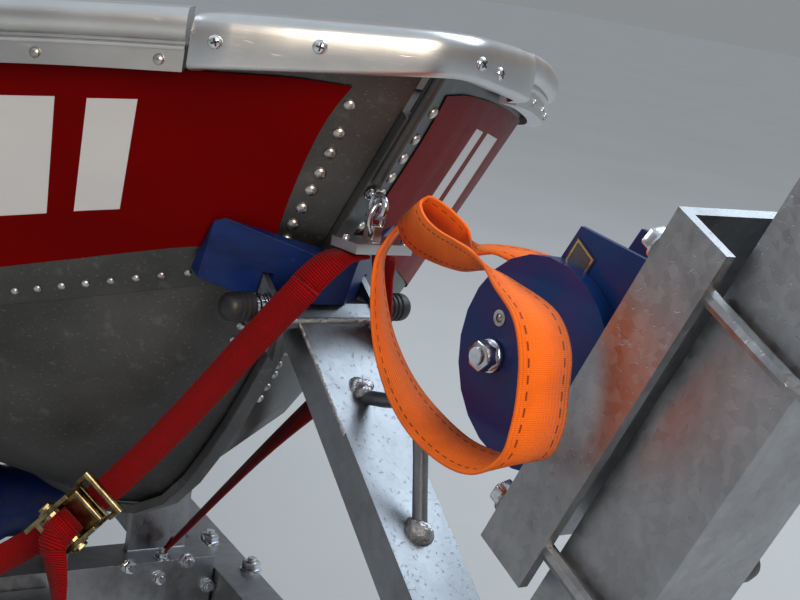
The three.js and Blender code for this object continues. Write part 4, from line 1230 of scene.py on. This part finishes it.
SPOOL = [(0, -47), (6, -47), (6, -23), (29.6, -23), (30, -22.5), (29.6, -22), (11.3, -21.4),
         (11.3, 17.4), (29.6, 18), (30, 18.5), (29.6, 19), (6, 19), (6, 34), (0, 34)]
spool = bmesh.new()
turned(spool, metres(SPOOL), WINCH, ACROSS, 40)
piece("drum_spool", spool, BRIGHT, "drum")
print("the drum holds", round(roll_length, 2), "m of webbing")

# %% [markdown]
# ## The crank
# A flat arm on the port side turns the drum through gears inside the winch. Its shaft comes out on
# the starboard side with a few turns of thread, which thin washers stand for, and a nut.

# %% Crank, its nut and its grip
CRANK = bow(143, 0, 955)
CRANK_ANGLE = math.radians(-55)
reach = Vector((math.cos(CRANK_ANGLE), 0, math.sin(CRANK_ANGLE)))
crank = bmesh.new()
bar(crank, CRANK - ACROSS * 0.062, CRANK + ACROSS * 0.066, 0.006, 20)
for k in range(7):
    washer(crank, CRANK - ACROSS * (0.0612 - 0.0003 * k), ACROSS, 0.0064, 0.005, 0.00015)
washer(crank, CRANK - ACROSS * 0.0488, ACROSS, 0.0118, 0.006, 0.0022)
nut(crank, CRANK - ACROSS * 0.0487, -ACROSS, 0.0195, 0.0105, 0.25)
middle = CRANK + reach * 0.0825 + ACROSS * 0.066
slab(crank, (0.178, 0.007, 0.0156), middle, 0.002, axes(reach, ACROSS, reach.cross(ACROSS)))
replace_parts(piece("crank_arm", crank, BRIGHT, "crank"), "winch_crank")

GRIP = [
    (0, 0), (10, 0), (11.5, 2), (12.5, 12), (14, 35), (14, 60), (13, 80), (10.5, 88), (5, 91.5),
    (0, 91.5),
]
grip = bmesh.new()
tip = CRANK + reach * 0.165 + ACROSS * 0.0695
turned(grip, metres(GRIP), tip, ACROSS, 32)
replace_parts(piece("crank_grip", grip, PLASTIC, "crank"), "winch_crank")
print("crank", round((tip - CRANK).length, 3), "m long")

# %% [markdown]
# ## Small parts on the winch
# The cover has a rivet, the frame a turned bush and a label. The label stays blank: three rings of
# faces, each smaller than the last, give it an edge of gold round a dark field.

# %% Washers, bush and blank label of the winch
BUSH = [(5.5, 0), (9.6, 0), (9.6, 1.6), (8.6, 2.4), (6.4, 2.4), (5.5, 1.6)]
trim = bmesh.new()
place, way = seen(500, 318, "winch_cover")
washer(trim, place, way, 0.0058, 0.0032, 0.0008)
rivet(trim, place - way * 0.0005, way, 0.0031)
piece("winch_cover_rivet", trim, STUD, sharp=60)

bush = bmesh.new()
place, way = seen(566, 333, "winch_frame")
turned(bush, metres(BUSH), place, way, 36)
piece("winch_bush", bush, YELLOW)

label = bmesh.new()
marks = [seen(x, y, "winch_frame") for x, y in ((579, 236), (596, 260), (563, 312), (542, 297))]
corners = [place + way * 0.0008 for place, way in marks]
loops = []
for inset in (0, 0.0012, 0.0028, 0.0036):
    loop = []
    for k, corner in enumerate(corners):
        ahead = (corners[(k + 1) % 4] - corner).normalized()
        back = (corners[k - 1] - corner).normalized()
        loop.append(label.verts.new(corner + (ahead + back) * inset))
    loops.append(loop)
for finish, (outer, inner) in enumerate(zip(loops, loops[1:])):
    for k in range(4):
        rim = label.faces.new((outer[k], outer[(k + 1) % 4], inner[(k + 1) % 4], inner[k]))
        rim.material_index = finish % 2
face = label.faces.new(loops[-1])
face.material_index = 2
bmesh.ops.recalc_face_normals(label, faces=label.faces)
face.normal_update()
if face.normal.dot(marks[0][1]) < 0:
    bmesh.ops.reverse_faces(label, faces=label.faces)
piece("winch_label_blank", label, PLASTIC, paints=[PLASTIC, YELLOW, MOTOR])
print("winch trim")

# %% [markdown]
# ## Winch bracket
# Two U-bolts go round the post. Their threaded ends come through the plate behind it, each with a
# washer and a nut. They lean with the post, so their places are counted up it and behind it.

# %% U-bolt nuts
POST_LEAN = math.radians(25)
BEHIND = Vector((-math.cos(POST_LEAN), 0, math.sin(POST_LEAN)))
UP_POST = Vector((math.sin(POST_LEAN), 0, math.cos(POST_LEAN)))
POST_FOOT = bow(118, 0, 500)
POST_HALF = 40  # half of the post's own depth, in millimetres


def on_post(up, behind, y=0.0):
    """A place by its distance up the post and behind the post's aft face, in millimetres."""
    behind += POST_HALF
    return POST_FOOT + UP_POST * (up / 1000) + BEHIND * (behind / 1000) + ACROSS * (y / 1000)


nuts = bmesh.new()
for up in (362, 580):
    for y in (-49, 49):
        washer(nuts, on_post(up, 50, y), BEHIND, 0.0118, 0.0062, 0.0018)
        nut(nuts, on_post(up, 51.6, y), BEHIND, 0.0185, 0.0092, 0.4 + up)
        for k in range(4):
            washer(nuts, on_post(up, 59.5 + 0.7 * k, y), BEHIND, 0.0063, 0.005, 0.0004)
piece("u_bolt_nuts", nuts, BRIGHT)
print("four nuts on two U-bolts")

# %% [markdown]
# ## Ratchet
# The starboard strap is drawn tight by a small ratchet of yellow plated steel. The webbing is
# wound on its split spindle between two cheeks, and its tail hangs free. One ribbon makes both,
# with stops in the ratchet's own three directions, so the turns follow if the ratchet is turned.

# %% Ratchet with its webbing and tail
R_MIDDLE = bow(-276, -104, 695)
R_ALONG = Vector((-228, -42, -240)).normalized()
R_OUT = Vector((0.55, -0.8, -0.2))
R_OUT = (R_OUT - R_ALONG * R_OUT.dot(R_ALONG)).normalized()
R_PIN = R_ALONG.cross(R_OUT)


def in_ratchet(along_it, out, across):
    """A place in millimetres along the strap, out from the boat and along the spindle."""
    return R_MIDDLE + (R_ALONG * along_it + R_OUT * out + R_PIN * across) / 1000


SPINDLE = 26  # the spindle's middle is this far out
TAIL = [  # how far down and aside the tail has come, and the direction of its width
    (6, 0, (-0.56, -0.54, 0.6)), (22, 5, (-0.84, -0.4, 0.25)), (60, 13, (-0.93, 0.05, 0)),
    (100, 17, (-0.9, 0.4, 0)), (148, 18, (-0.88, 0.44, 0)),
]
wound = []
for k in range(54):
    angle, r = math.pi + 2 * math.pi * k / 18, 9.6 + 0.055 * k
    wound.append((in_ratchet(r * math.cos(angle), SPINDLE + r * math.sin(angle), 0), R_PIN))
for down, aside, way in TAIL:
    drift = Vector((0.61 * aside, 0.78 * aside, -down)) / 1000
    wound.append((in_ratchet(2, 40, 0) + drift, Vector(way)))
tail, tail_length = ribbon("ratchet_webbing", wound, STRAP_WIDTH, 0.0021, RED, 2)
print("ratchet tail", round(tail_length, 2), "m with its turns")

# %% Fittings of the ratchet
fittings = bmesh.new()
for across in (-21, 21):
    way = R_PIN * (1 if across > 0 else -1)
    washer(fittings, in_ratchet(0, SPINDLE, across * 0.96), way, 0.0098, 0.004, 0.0014)
    nut(fittings, in_ratchet(0, SPINDLE, across), way, 0.012, 0.0036, 0.5)
    bar(fittings, in_ratchet(-38, 14, across * 0.95), in_ratchet(-58, 20, across * 0.95), 0.0024, 10)
bar(fittings, in_ratchet(-58, 20, -22), in_ratchet(-58, 20, 22), 0.0034, 14)
bar(fittings, in_ratchet(-34, 20, -20), in_ratchet(-34, 20, 20), 0.003, 12)
slab(fittings, (0.012, 0.0022, 0.03), in_ratchet(22, 18, 0), 0.0006, axes(R_ALONG, R_OUT, R_PIN))
piece("ratchet_fittings", fittings, DULL_YELLOW)
print("the ratchet has its nuts, cross bars and pawl")

# %% [markdown]
# ## Bolts of the first beam
# The first cross beam is bolted where it crosses the frame. The camera's ruler places each bolt by
# the pixel where the picture shows it, wherever its ray meets the beam.

# %% Bolts of the front cross beam
beam_bolts = bmesh.new()
for x, y in ((161, 558), (158, 577), (128, 566), (206, 584), (186, 560)):
    place, way = seen(x, y, "cross_beam_front")
    if place:
        washer(beam_bolts, place, way, 0.0088, 0.004, 0.0015)
        nut(beam_bolts, place + way * 0.0014, way, 0.0132, 0.006, x)
        bar(beam_bolts, place, place + way * 0.0105, 0.004, 12)
piece("beam_bolts", beam_bolts, BRIGHT)
print("front beam bolted")

# %% [markdown]
# ## Wheels
# A trailer tyre has a rounded shoulder, deep grooves round it and short grooves across. Spinning
# its section gives the first two. The cross grooves are every third face of the tread, inset and
# sunk, which is quick because the spin already laid the faces out in columns.

# %% Tyres with tread
# Half a section, from the bead to the middle groove: radius and distance from the middle.
HALF_TYRE = [
    (130, 58.5), (140, 66.5), (158, 70.5), (175, 72.5), (186, 72.4), (189, 70.6), (203, 70.8),
    (222, 67), (238, 60), (246, 50), (247.6, 44), (247.8, 27), (242.5, 25.5), (242.5, 20.5),
    (248.8, 19), (249.6, 3.5), (243.5, 2.5),
]
TYRE_SECTION = [(r, -w) for r, w in HALF_TYRE] + HALF_TYRE[::-1] + [(122, 0)]
HUB = bow(-2560, 0, 250)
TREAD_FLOOR = 0.2445  # faces further out than this are tread, not groove
TREAD_FACE = 0.00009  # and those larger than this aren't the walls of a groove


def tread(shape, middle):
    """Sinks a groove into every third column of the tread's faces."""
    sunk = []
    for face in shape.faces:
        out = face.calc_center_median() - middle
        radius = math.hypot(out.x, out.z)
        column = round(math.degrees(math.atan2(out.z, out.x)) / 2.5 - 0.5)
        tread_face = radius > TREAD_FLOOR and face.calc_area() > TREAD_FACE
        if tread_face and (column + (out.y > 0)) % 3 == 0:
            sunk.append(face)
    bmesh.ops.inset_individual(shape, faces=sunk, thickness=0.0017, depth=-0.0045)
    return len(sunk)


for side, s in (("port", 1), ("starboard", -1)):
    middle = HUB + ACROSS * 0.7 * s
    shape = bmesh.new()
    turned(shape, metres(TYRE_SECTION), middle, ACROSS, 144)
    count = tread(shape, middle)
    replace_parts(piece(f"tyre_tread_{side}", shape, TYRE, f"wheel_{side}", sharp=40), f"tyre_{side}")
print(count, "cross grooves in each tyre")

# %% [markdown]
# ## Rims
# A pressed steel rim is held by four nuts on cone seats, and its ten holes have rolled lips. Holes
# through the solid would need booleans, so a dark disc lies in each lip as painted shade.

# %% Hub caps, wheel nuts and hand holes
NUT_SEAT = [(0, 0), (9.6, 0), (8.6, 5), (0, 5)]
HOLE_LIP = [(7.2, -1), (10.4, -0.4), (9.6, 1.8), (8.2, 2.2), (7.2, 1.4)]
# A dark disc of painted shade, laid in each hole.
HOLE_SHADE_DISC = [(0, 0.5), (7.6, 0.5), (7.6, -0.4), (0, -0.4)]
HUB_CAP = [
    (0, 26), (9, 25.6), (17, 23), (22, 18), (23.5, 10), (24.5, 1.5), (27, 0), (27, -1), (0, -1),
]
for side, s in (("port", 1), ("starboard", -1)):
    out = ACROSS * s
    middle = HUB + out * 0.734
    cap, nuts, rings, holes = bmesh.new(), bmesh.new(), bmesh.new(), bmesh.new()
    turned(cap, metres(HUB_CAP), middle, out, 40)
    for place in circle(middle - out * 0.008, FORWARD, UPWARD, 0.0495, 4):
        turned(nuts, metres(NUT_SEAT), place, out, 20)
        nut(nuts, place + out * 0.0045, out, 0.017, 0.012, 0.2)
        rivet(nuts, place + out * 0.0164, out, 0.0062)
    for place in circle(middle - out * 0.0118, FORWARD, UPWARD, 0.082, 10):
        turned(rings, metres(HOLE_LIP), place, out, 20)
        # Painted shade: a dark disc where the hole would show shade.
        turned(holes, metres(HOLE_SHADE_DISC), place, out, 16)
    valve = middle + FORWARD * 0.104 - out * 0.012
    bar(holes, valve, middle + FORWARD * 0.098 + out * 0.018, 0.0034)
    piece(f"hub_cap_{side}", cap, PLASTIC, f"wheel_{side}")
    piece(f"wheel_nuts_{side}", nuts, BRIGHT, f"wheel_{side}")
    piece(f"rim_lips_{side}", rings, BRIGHT, f"wheel_{side}")
    piece(f"rim_hole_shades_and_valve_{side}", holes, RUBBER, f"wheel_{side}")
print("hub caps, nuts and valves")

# %% [markdown]
# ## Mudguards
# A moulded guard has a round bead along both edges, and four bolts hold it to its bracket.

# %% Mudguard beads and bolts
beads, bolts = bmesh.new(), bmesh.new()
for s in (-1, 1):
    for y in (0.6155, 0.7915):
        arc = [HUB + ACROSS * y * s + Vector((math.cos(a), 0, math.sin(a))) * 0.2885
               for a in (math.radians(20 + 5 * k) for k in range(29))]
        bent_bar(beads, arc, 0.0042, 10)
    for dx in (-0.205, 0.205):
        for y in (0.48, 0.60):
            nut(bolts, HUB + Vector((dx, y * s, 0.212)), UPWARD, 0.013, 0.0055, y)
piece("mudguard_beads", beads, PLASTIC)
piece("mudguard_bolts", bolts, BRIGHT)
print("mudguards edged")

# %% [markdown]
# ## Lights at the back
# The board carries a lamp at each end, divided into a red, an amber and a clear field, and a red
# triangle inboard of each lamp, which is what tells a trailer from a car. The number plate between
# them is blank.

# %% Lamps, triangles and plate
BACK = Vector((-1, 0, 0))
board_low, board_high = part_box("light_board")
back_x, board_z = board_low[0], (board_low[2] + board_high[2]) / 2


def on_board(y, z=0.0, out=0.0):
    """A place across the board, up from its middle and out from its back face."""
    return Vector((back_x - out, y, board_z + z))


housings, red, amber, white = bmesh.new(), bmesh.new(), bmesh.new(), bmesh.new()
for s in (-1, 1):
    slab(housings, (0.02, 0.236, 0.094), on_board(0.522 * s, 0, 0.009), 0.004)
    for shape, y, width in ((red, 0.577, 0.112), (amber, 0.485, 0.066), (white, 0.427, 0.042)):
        slab(shape, (0.016, width, 0.082), on_board(y * s, 0, 0.022), 0.004)
    bmesh.ops.create_cone(red, cap_ends=True, segments=3, radius1=0.047, radius2=0.045, depth=0.008,
                          matrix=facing(on_board(0.343 * s, -0.008, 0.004), BACK))
    for z in (-0.033, 0.033):
        rivet(housings, on_board(0.47 * s + 0.14 * s, z, 0.03), BACK, 0.003)
piece("lamp_housings", housings, PLASTIC)
piece("lamps_red", red, RED_LENS, sharp=50)
piece("lamps_amber", amber, AMBER_LENS, sharp=50)
piece("lamps_clear", white, WHITE_LENS, sharp=50)

plate = bmesh.new()
slab(plate, (0.0026, 0.52, 0.101), on_board(0, 0, 0.002), 0.001)
piece("number_plate_blank", plate, PALE_FILM)
frame_bars = bmesh.new()
LYING, STANDING = (0.007, 0.53, 0.004), (0.007, 0.004, 0.1)
for y, z, size in ((0, 0.0495, LYING), (0, -0.0495, LYING),
                   (0.263, 0, STANDING), (-0.263, 0, STANDING)):
    slab(frame_bars, size, on_board(y, z, 0.003), 0.001)
for y in (-0.17, 0.17):
    rivet(frame_bars, on_board(y, 0, 0.003), BACK, 0.005)
piece("number_plate_frame", frame_bars, PLASTIC)
print("light board at", round(back_x, 3))

# %% [markdown]
# ## Frame fasteners
# Galvanised trailers are bolted, not welded, so that their beams can be moved to suit a hull. Each
# crossing has its bolts, and the keel rollers run on pins with a washer and a nut at each end.

# %% Bolts of the frame, rollers and post
bolts = bmesh.new()


def bolt(place, way, across=0.019, height=0.009, spin=0.0):
    """A washer, a nut and the bolt's own end standing out of it."""
    washer(bolts, place, way, across * 0.64, across * 0.3, 0.0018)
    nut(bolts, place + way * 0.0016, way, across, height, spin)
    bar(bolts, place, place + way * (height + 0.006), across * 0.27, 12)


# The cross beams and their rollers
for name in ("front", "middle", "rear"):
    low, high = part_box(f"cross_beam_{name}")
    middle = (low[0] + high[0]) / 2
    for s in (-1, 1):
        reach = high[1] + 0.026
        for dx in (-0.045, 0.045):
            bolt(Vector((middle + dx, reach * s, 0.5)), UPWARD, spin=reach + dx)
        pin = Vector((middle, 0.062 * s, 0.588))
        washer(bolts, pin, ACROSS * s, 0.0145, 0.006, 0.002)
        nut(bolts, pin + ACROSS * s * 0.002, ACROSS * s, 0.018, 0.0085, 0.5)
# The foot of the winch post
for x in (61, 186):
    for y in (-27, 27):
        bolt(bow(x, y, 510), UPWARD, 0.016, 0.008)
# The coupling
for x in (838, 936):
    for y in (-12, 12):
        bolt(bow(x, y, 512), UPWARD, 0.013, 0.007)
# The posts of the bunks
for x in (-3350, -2450):
    for s in (-1, 1):
        for z in (560, 600):
            bolt(bow(x, 454 * s, z), ACROSS * s, 0.016, 0.007)
# The axle
for y in (-560, -460, 460, 560):
    for dx in (-24, 24):
        bolt(bow(-2430 + dx, y, 419.4), UPWARD, 0.015, 0.006)
piece("frame_bolts", bolts, BRIGHT)
print("frame bolted")

# %% [markdown]
# ## Handles and the jockey wheel
# The coupling's lever and the jockey's crank have turned plastic grips, and a T lever clamps the
# jockey's tube. The wheel's steel rim is turned once for each side.

# %% Coupling and jockey details
LEVER_GRIP = [(0, -26), (8, -26), (11, -20), (11.5, 0), (11, 20), (8, 27), (0, 27)]
JOCKEY_GRIP = [(0, 0), (9.5, 0), (11, 4), (11.6, 30), (11, 54), (8, 60), (0, 60)]
JOCKEY_RIM = [(8, 14), (29, 14), (33, 13.6), (68, 13.6), (71, 14.4), (70, 15.6), (60, 15.2),
              (40, 15.2), (34, 17), (30, 25), (8, 25)]
grips = bmesh.new()
turned(grips, metres(LEVER_GRIP), bow(866, 0, 537.7), Vector((-90, 0, 58)).normalized(), 24)
turned(grips, metres(JOCKEY_GRIP), bow(678, -82, 650), UPWARD, 24)
piece("handle_grips", grips, PLASTIC)

lever = bmesh.new()
bar(lever, bow(560, -116, 457), bow(560, -142, 457), 0.007)
bar(lever, bow(526, -142, 457), bow(594, -142, 457), 0.0055)
piece("jockey_clamp_lever", lever, BRIGHT)
jockey_rim = bmesh.new()
for s in (-1, 1):
    turned(jockey_rim, metres(JOCKEY_RIM), bow(505, -82, 100), ACROSS * s, 36)
piece("jockey_rim", jockey_rim, GALVANISED, "jockey_tyre")
print("coupling and jockey dressed")

# %% [markdown]
# ## Inside the hull
# Pressed ribs stiffen the sides. Each follows the plate, found by rays from the middle of the boat.

# %% Ribs and transom rivets
RIBS = (1.02, 0.82, 0.42, 0.22, -0.55, -0.74, -1.1, -1.28, -1.98, -2.16)
ribs = bmesh.new()
for x in RIBS:
    for side in ("port", "starboard"):
        s = 1 if side == "port" else -1
        low, high = chine_at(x) + 0.03, sheer_at(x) - 0.03
        route = []
        for k in range(7):
            z = low + (high - low) * k / 6
            place, _, _, _ = skin(f"hull_side_{side}").ray_cast(Vector((x, 0, z)), ACROSS * s)
            if place:
                route.append(place - ACROSS * s * 0.0078)
        bent_bar(ribs, route, 0.0085, 10)
piece("hull_ribs", ribs, MILL)

transom_row = bmesh.new()
for k in range(31):
    y = -0.69 + 0.046 * k
    for z in (0.985, 0.735):
        if abs(y) < 0.66 and (abs(y) > 0.16 or z < 0.9):
            place, way, _, _ = skin("transom").ray_cast(Vector((-2.8, y, z)), FORWARD)
            if place:
                rivet(transom_row, place, way, 0.0042)
piece("transom_rivets", transom_row, STUD, sharp=80)
print("ribs and transom rivets")

# %% [markdown]
# ## Outboard motor
# A blade is a small grid bent by a formula: narrow at the root, wide in the middle, round at the
# tip, and pitched less the further out it lies. Solidify gives it a wall. The hub is turned, and
# both ride on the screw, so they spin together.

# %% Propeller
STEER = -4438  # the axis that the motor steers about, in millimetres from the bow
SCREW = bow(STEER - 278, 0, 515)


def blade(shape, turn):
    """One blade, from a flat grid: u runs from root to tip and v across it."""
    made = bmesh.ops.create_grid(shape, x_segments=12, y_segments=8, size=0.5)["verts"]
    for vert in made:
        u, v = vert.co.x + 0.5, vert.co.y
        r = 0.02 + 0.0905 * u
        chord = 0.078 * math.sqrt(max(0.02, 1 - (2 * u - 1.02) ** 2)) * (0.75 + 0.25 * u)
        pitch = math.atan(0.15 / (2 * math.pi * r))
        across, ahead = v * chord * math.cos(pitch), v * chord * math.sin(pitch) + 0.004 * u
        vert.co = Vector((ahead, across, r))
    bmesh.ops.rotate(shape, verts=made, cent=(0, 0, 0), matrix=Matrix.Rotation(turn, 3, "X"))
    bmesh.ops.translate(shape, verts=made, vec=SCREW)


blades = bmesh.new()
for k in range(3):
    blade(blades, k * 2 * math.pi / 3)
propeller = piece("propeller_blades", blades, CASTING, "screw", sharp=60)
wall = propeller.modifiers.new("wall", "SOLIDIFY")
wall.thickness = 0.0045
wall.offset = 0
soft = propeller.modifiers.new("soft", "BEVEL")
soft.width = 0.0016
soft.segments = 2
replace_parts(propeller, "propeller")

HUB_OUTLINE = [(0, 38), (23, 38), (25, 34), (26, 10), (25.4, -20), (22, -27), (14, -29),
               (13, -30), (0, -30)]
hub = bmesh.new()
turned(hub, metres(HUB_OUTLINE), SCREW, FORWARD, 40)
hub_piece = piece("propeller_hub", hub, CASTING, "screw")
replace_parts(hub_piece, "propeller")
print("three blades")

# %% [markdown]
# ## Cowl and tiller
# A rubber seam runs round the foot of the cowl, and a latch closes it behind. The tiller's grip is
# one outline with many grooves, turned. The cowl's two stripes are blank.

# %% Cowl seam, latch, trim and tiller grip
AFT, FORE, HALF, CORNER = -305, 38, 118, 34  # the cowl's foot from the steering axis
seam = bmesh.new()
outline = [
    (AFT + CORNER, -HALF), (FORE - CORNER, -HALF), (FORE, CORNER - HALF), (FORE, HALF - CORNER),
    (FORE - CORNER, HALF), (AFT + CORNER, HALF), (AFT, HALF - CORNER), (AFT, CORNER - HALF),
]
route = []
for (x0, y0), (x1, y1) in zip(outline, outline[1:] + outline[:1]):
    route += [bow(STEER + x0 + (x1 - x0) * t, y0 + (y1 - y0) * t, 1146) for t in (0.03, 0.5, 0.97)]
bent_bar(seam, route, 0.0038, 10, closed=True)
slab(seam, (0.012, 0.06, 0.034), bow(STEER - 302.6, 0, 1156), 0.003)
piece("cowl_seam", seam, RUBBER, "motor")

trim = bmesh.new()
slab(trim, (0.016, 0.07, 0.02), bow(STEER + 34, 0, 1232), 0.005)
bar(trim, bow(STEER + 22, 62, 1200), bow(STEER + 44, 62, 1196), 0.007)
for z in (1290, 1302, 1314, 1326):
    slab(trim, (0.004, 0.12, 0.005), bow(STEER - 296 + (z - 1142) * 0.03, 0, z), 0.001)
piece("cowl_trim", trim, PLASTIC, "motor")

tiller_grip = bmesh.new()
rings = [(0, 1384), (15.4, 1384)]
for z in range(1388, 1478, 6):
    rings += [(16.6, z), (16.6, z + 3.4), (15.3, z + 3.8), (15.3, z + 5.6)]
rings += [(16.4, 1480), (14, 1488), (0, 1490)]
turned(tiller_grip, metres(rings), bow(STEER + 62, 0, 0), UPWARD, 28)
piece("tiller_grip", tiller_grip, RUBBER, "tiller_arm")

stripes = bmesh.new()
for s in (-1, 1):
    slab(stripes, (0.2, 0.0016, 0.012), bow(STEER - 140, 116.6 * s, 1186), 0.0004)
piece("cowl_stripes", stripes, PALE_FILM, "motor")
print("outboard trimmed")

# %% [markdown]
# ## Dressing the solids
# The solids that stay keep their shape. A bevel modifier rounds their sharp edges by a
# millimetre or so, because a real edge always catches a line of light, and a weighted normal
# keeps the flats flat.

# %% Finishes of the solids
def dress(node, paint, edge):
    """Gives a solid its finish and eases its edges by a width."""
    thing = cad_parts[node]
    thing.data.materials.clear()
    thing.data.materials.append(paint.material)
    for face in thing.data.polygons:
        face.use_smooth = True
    weld = thing.modifiers.new("weld", "WELD")
    weld.merge_threshold = 0.00002
    ease = thing.modifiers.new("ease", "BEVEL")
    ease.width = edge
    ease.segments = 2
    ease.limit_method = "ANGLE"
    ease.angle_limit = math.radians(32)
    ease.use_clamp_overlap = True
    flat = thing.modifiers.new("flat", "WEIGHTED_NORMAL")
    flat.keep_sharp = True


FINISHES = {
    (MILL, 0.001): ["hull_side_port", "hull_side_starboard", "hull_bottom", "transom", "keel_bar",
                    "bow_seat", "middle_thwart", "aft_thwart"],
    (TREAD, 0.0009): ["floor"],
    (EXTRUDED, 0.005): ["gunwale_port", "gunwale_starboard", "bow_cap"],
    (GALVANISED, 0.003): ["drawbar", "rail_port", "rail_starboard", "cross_beam_front",
                          "cross_beam_middle", "cross_beam_rear", "axle", "jockey_clamp",
                          "winch_post"],
    (DULL_ZINC, 0.003): ["bow_arm"],
    (GALVANISED, 0.0012): ["jockey_tube", "jockey_fork", "winch_bracket"],
    (EXTRUDED, 0.0018): ["hook_plate"],
    (BRIGHT, 0.0008): ["bow_eye", "link", "coupling", "rim_port", "rim_starboard", "winch_crank"],
    (DULL_YELLOW, 0.0006): ["ratchet"],
    (NAVY, 0.003): ["bow_block", "keel_roller_front", "keel_roller_middle", "keel_roller_rear"],
    (RUBBER, 0.002): ["stop_bolt", "jockey_wheel"],
    (TYRE, 0.003): ["tyre_port", "tyre_starboard"],
    (PLYWOOD, 0.004): ["motor_pad", "bunk_port", "bunk_starboard"],
    (BLUE, 0.0012): ["winch_frame", "winch_cover"],
    (MOTOR, 0.002): ["motor_clamp", "motor_swivel", "motor_leg", "propeller"],
    (MOTOR, 0.012): ["motor_cowl"],
    (CASTING, 0.004): ["engine_block"],
    (PLASTIC, 0.002): ["mudguard_port", "mudguard_starboard", "tiller", "light_board"],
    (ORANGE, 0.001): ["winch_drum", "winch_strap"],
    (RED, 0.0005): ["strap_port", "strap_starboard"],
}
for (paint, edge), nodes in FINISHES.items():
    for node in nodes:
        dress(node, paint, edge)
print("dressed", sum(len(nodes) for nodes in FINISHES.values()), "solids")

# %% [markdown]
# ## Floor and light
# A pale floor, a plain room and three soft lamps. Bare metal shows its shape by what it mirrors,
# so the room is brighter and cooler overhead than at eye level.

# %% Floor and light
ground = bmesh.new()
bmesh.ops.create_grid(ground, x_segments=1, y_segments=1, size=40)
ground_mesh = bpy.data.meshes.new("studio_floor")
ground.to_mesh(ground_mesh)
ground.free()
pale = Paint("studio_floor", "hull_aluminium", (0.43, 0.425, 0.42), 0.85)
cloud = pale.noise(0.9, 3)
pale.set("Base Color", pale.mix(cloud, (0.4, 0.395, 0.39), (0.46, 0.455, 0.45)))
ground_mesh.materials.append(pale.material)
studio_floor = bpy.data.objects.new("studio_floor", ground_mesh)
bpy.context.scene.collection.objects.link(studio_floor)


def studio_world():
    """A room that is bright and cool overhead, warm and dim at eye level, and pale to look at."""
    world = bpy.data.worlds.new("studio")
    bpy.context.scene.world = world
    world.use_nodes = True
    tree = world.node_tree
    spot = tree.nodes.new("ShaderNodeTexCoord")
    height = tree.nodes.new("ShaderNodeSeparateXYZ")
    room = tree.nodes.new("ShaderNodeValToRGB")
    stops = room.color_ramp.elements
    stops[0].position, stops[0].color = 0.02, (0.34, 0.29, 0.25, 1)
    stops[1].position, stops[1].color = 0.75, (0.82, 0.92, 1.0, 1)
    middle = stops.new(0.3)
    middle.color = (0.42, 0.43, 0.45, 1)
    looked_at = tree.nodes.new("ShaderNodeLightPath")
    pick = tree.nodes.new("ShaderNodeMix")
    pick.data_type = "RGBA"
    pick.inputs[7].default_value = (0.32, 0.335, 0.345, 1)
    tree.links.new(spot.outputs["Generated"], height.inputs[0])
    tree.links.new(height.outputs["Z"], room.inputs["Fac"])
    tree.links.new(looked_at.outputs["Is Camera Ray"], pick.inputs[0])
    tree.links.new(room.outputs["Color"], pick.inputs[6])
    tree.links.new(pick.outputs[2], tree.nodes["Background"].inputs["Color"])
    tree.nodes["Background"].inputs["Strength"].default_value = 0.8


def lamp(name, place, target, size, watts, color):
    """A soft square lamp that looks at a point."""
    light = bpy.data.lights.new(name, "AREA")
    light.size = size
    light.energy = watts
    light.color = color
    lit = bpy.data.objects.new(name, light)
    lit.matrix_world = facing(place, place - target)
    bpy.context.scene.collection.objects.link(lit)


studio_world()
LOOK = bow(-60, 0, 950)
lamp("sky", bow(300, 3600, 5200), LOOK, 4.2, 250, (0.76, 0.88, 1.0))
lamp("low_sun", bow(2600, -900, 2100), LOOK, 1.2, 62, (1.0, 0.86, 0.68))
lamp("stern", bow(-7000, -4500, 5000), bow(-3200, 0, 700), 5.0, 260, (0.95, 0.97, 1.0))
bpy.context.scene.view_settings.view_transform = "Standard"
print("floor, room and three lamps")
